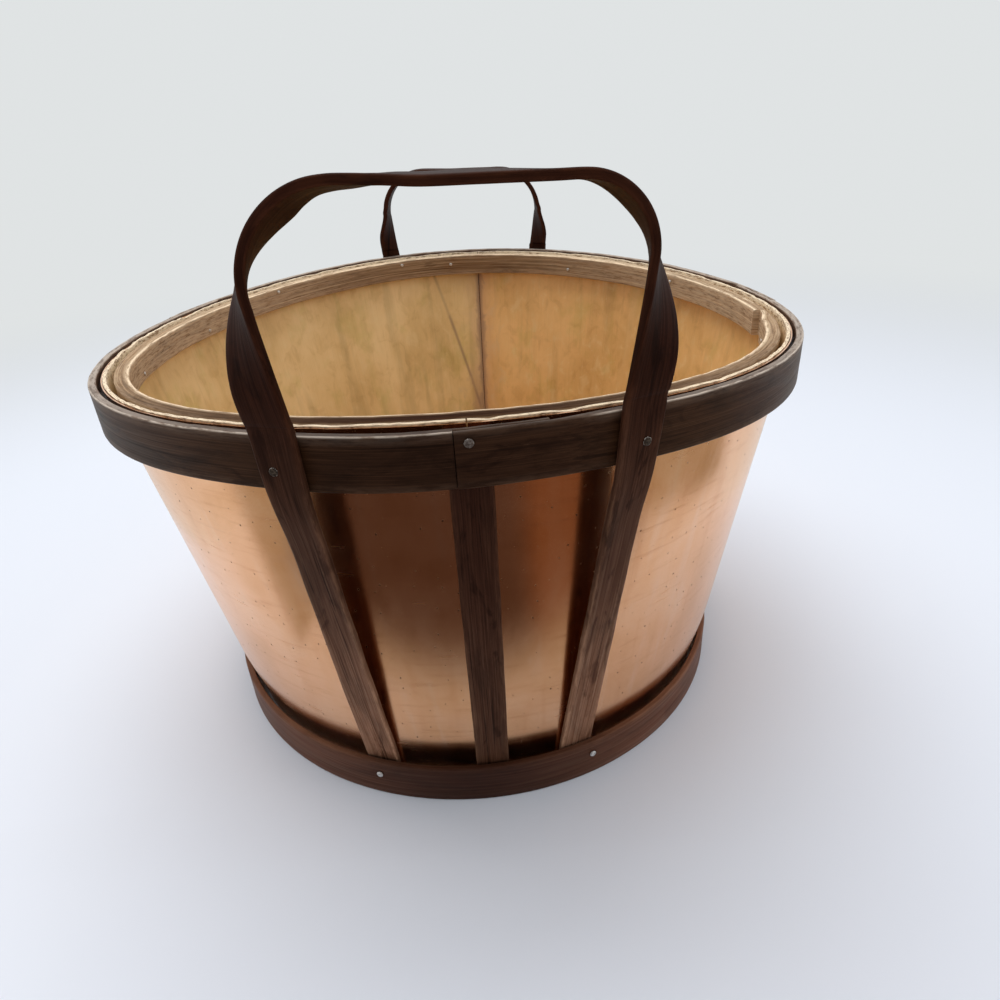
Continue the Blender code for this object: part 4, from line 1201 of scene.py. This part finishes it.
flat_panel("floor", level(
    0.0, (-FLOOR_REACH, -FLOOR_REACH), (FLOOR_REACH, -FLOOR_REACH), (FLOOR_REACH, FLOOR_REACH),
    (-FLOOR_REACH, FLOOR_REACH),
), floor_material())
card("card_dark_floor", level(
    ROOM_CARD_HEIGHT, (-0.262, TABLE_EDGE + 0.015), (0.30, TABLE_EDGE + 0.015), (0.62, -ROOM_REACH),
    (-0.70, -ROOM_REACH),
), room_color)
card("card_dim_left", level(
    DIM_CARD_HEIGHT, (-0.19, -0.170), (-0.26, -0.179), (-0.40, -0.207), (-ROOM_REACH, -0.45),
    (-ROOM_REACH, -ROOM_REACH), (-0.70, -ROOM_REACH), (-0.20, -0.24),
), DIM_COLOR)
card("card_dim_right", level(
    DIM_CARD_HEIGHT, (0.28, -0.237), (0.345, -0.165), (0.385, -0.09), (0.42, -0.03),
    (ROOM_REACH, 0.05), (ROOM_REACH, -ROOM_REACH), (0.62, -ROOM_REACH),
), DIM_COLOR)
card("card_dark_room", [
    (-ROOM_REACH, -ROOM_REACH, 0.0), (ROOM_REACH, -ROOM_REACH, 0.0),
    (ROOM_REACH, -ROOM_REACH, ROOM_TOP), (-ROOM_REACH, -ROOM_REACH, ROOM_TOP),
], room_color)
for label, side, near_end in (("left", -1.0, -0.20), ("right", 1.0, -0.02)):
    wall = side * SIDE_WALL
    card("card_white_" + label, [
        (wall, near_end, 0.0), (wall, WALL_END, 0.0), (wall, WALL_END, WALL_TOP), (wall, near_end, WALL_TOP),
    ], BACKGROUND)

world = bpy.data.worlds.new("studio")
bpy.context.scene.world = world
world.use_nodes = True
sky = Nodes(world.node_tree)
rays = sky.node("LightPath").outputs
seen = sky.math("MAXIMUM", rays["Is Camera Ray"], rays["Is Glossy Ray"])
seen = sky.math("MAXIMUM", seen, rays["Is Transmission Ray"])
lit = sky.node("Background", {"Color": LIGHT_COLOR, "Strength": LIGHT_STRENGTH})
shown = sky.node("Background", {"Color": BACKGROUND, "Strength": 1.0})
backdrop = sky.node("Background", {"Color": BACKDROP, "Strength": 1.0})
choice = sky.node("MixShader", {0: seen, 1: lit.outputs[0], 2: shown.outputs[0]})
choice = sky.node("MixShader", {0: rays["Is Camera Ray"], 1: choice.outputs[0], 2: backdrop.outputs[0]})
sky.node("OutputWorld", {"Surface": choice.outputs[0]})


def soft_light(name, location, width, energy):
    """Square lamp turned towards the basket's middle."""
    data = bpy.data.lights.new(name, "AREA")
    data.shape = "SQUARE"
    data.size = width
    data.energy = energy
    lamp = new_object(name, data)
    lamp.location = location
    lamp.rotation_euler = (LIGHT_AIM - Vector(location)).to_track_quat("-Z", "Y").to_euler()


soft_light("light_top", (-0.25, 0.25, 1.5), 1.2, 15.0)
soft_light("light_right", (1.3, -0.3, 0.9), 0.9, 2.8)

# Camera, fitted to the photograph
CAMERA_PLACE = (25.1 * MM, -463.0 * MM, 358.7 * MM)
CAMERA_PITCH = math.radians(28.547)
CAMERA_ROLL = math.radians(3.435)
CAMERA_LENS = 24.948
forward = Vector((0.0, math.cos(CAMERA_PITCH), -math.sin(CAMERA_PITCH)))
level_up = Vector((0.0, math.sin(CAMERA_PITCH), math.cos(CAMERA_PITCH)))
level_right = Vector((1.0, 0.0, 0.0))
right_way = level_right * math.cos(CAMERA_ROLL) - level_up * math.sin(CAMERA_ROLL)
up_way = level_up * math.cos(CAMERA_ROLL) + level_right * math.sin(CAMERA_ROLL)
camera_data = bpy.data.cameras.new("camera")
camera_data.sensor_width = 36.0
camera_data.lens = CAMERA_LENS
camera_data.clip_start = 0.01
camera = new_object("camera", camera_data)
turn = Matrix((right_way, up_way, -forward)).transposed().to_4x4()
camera.matrix_world = Matrix.Translation(CAMERA_PLACE) @ turn
bpy.context.scene.camera = camera

bpy.context.scene.view_settings.view_transform = "Standard"
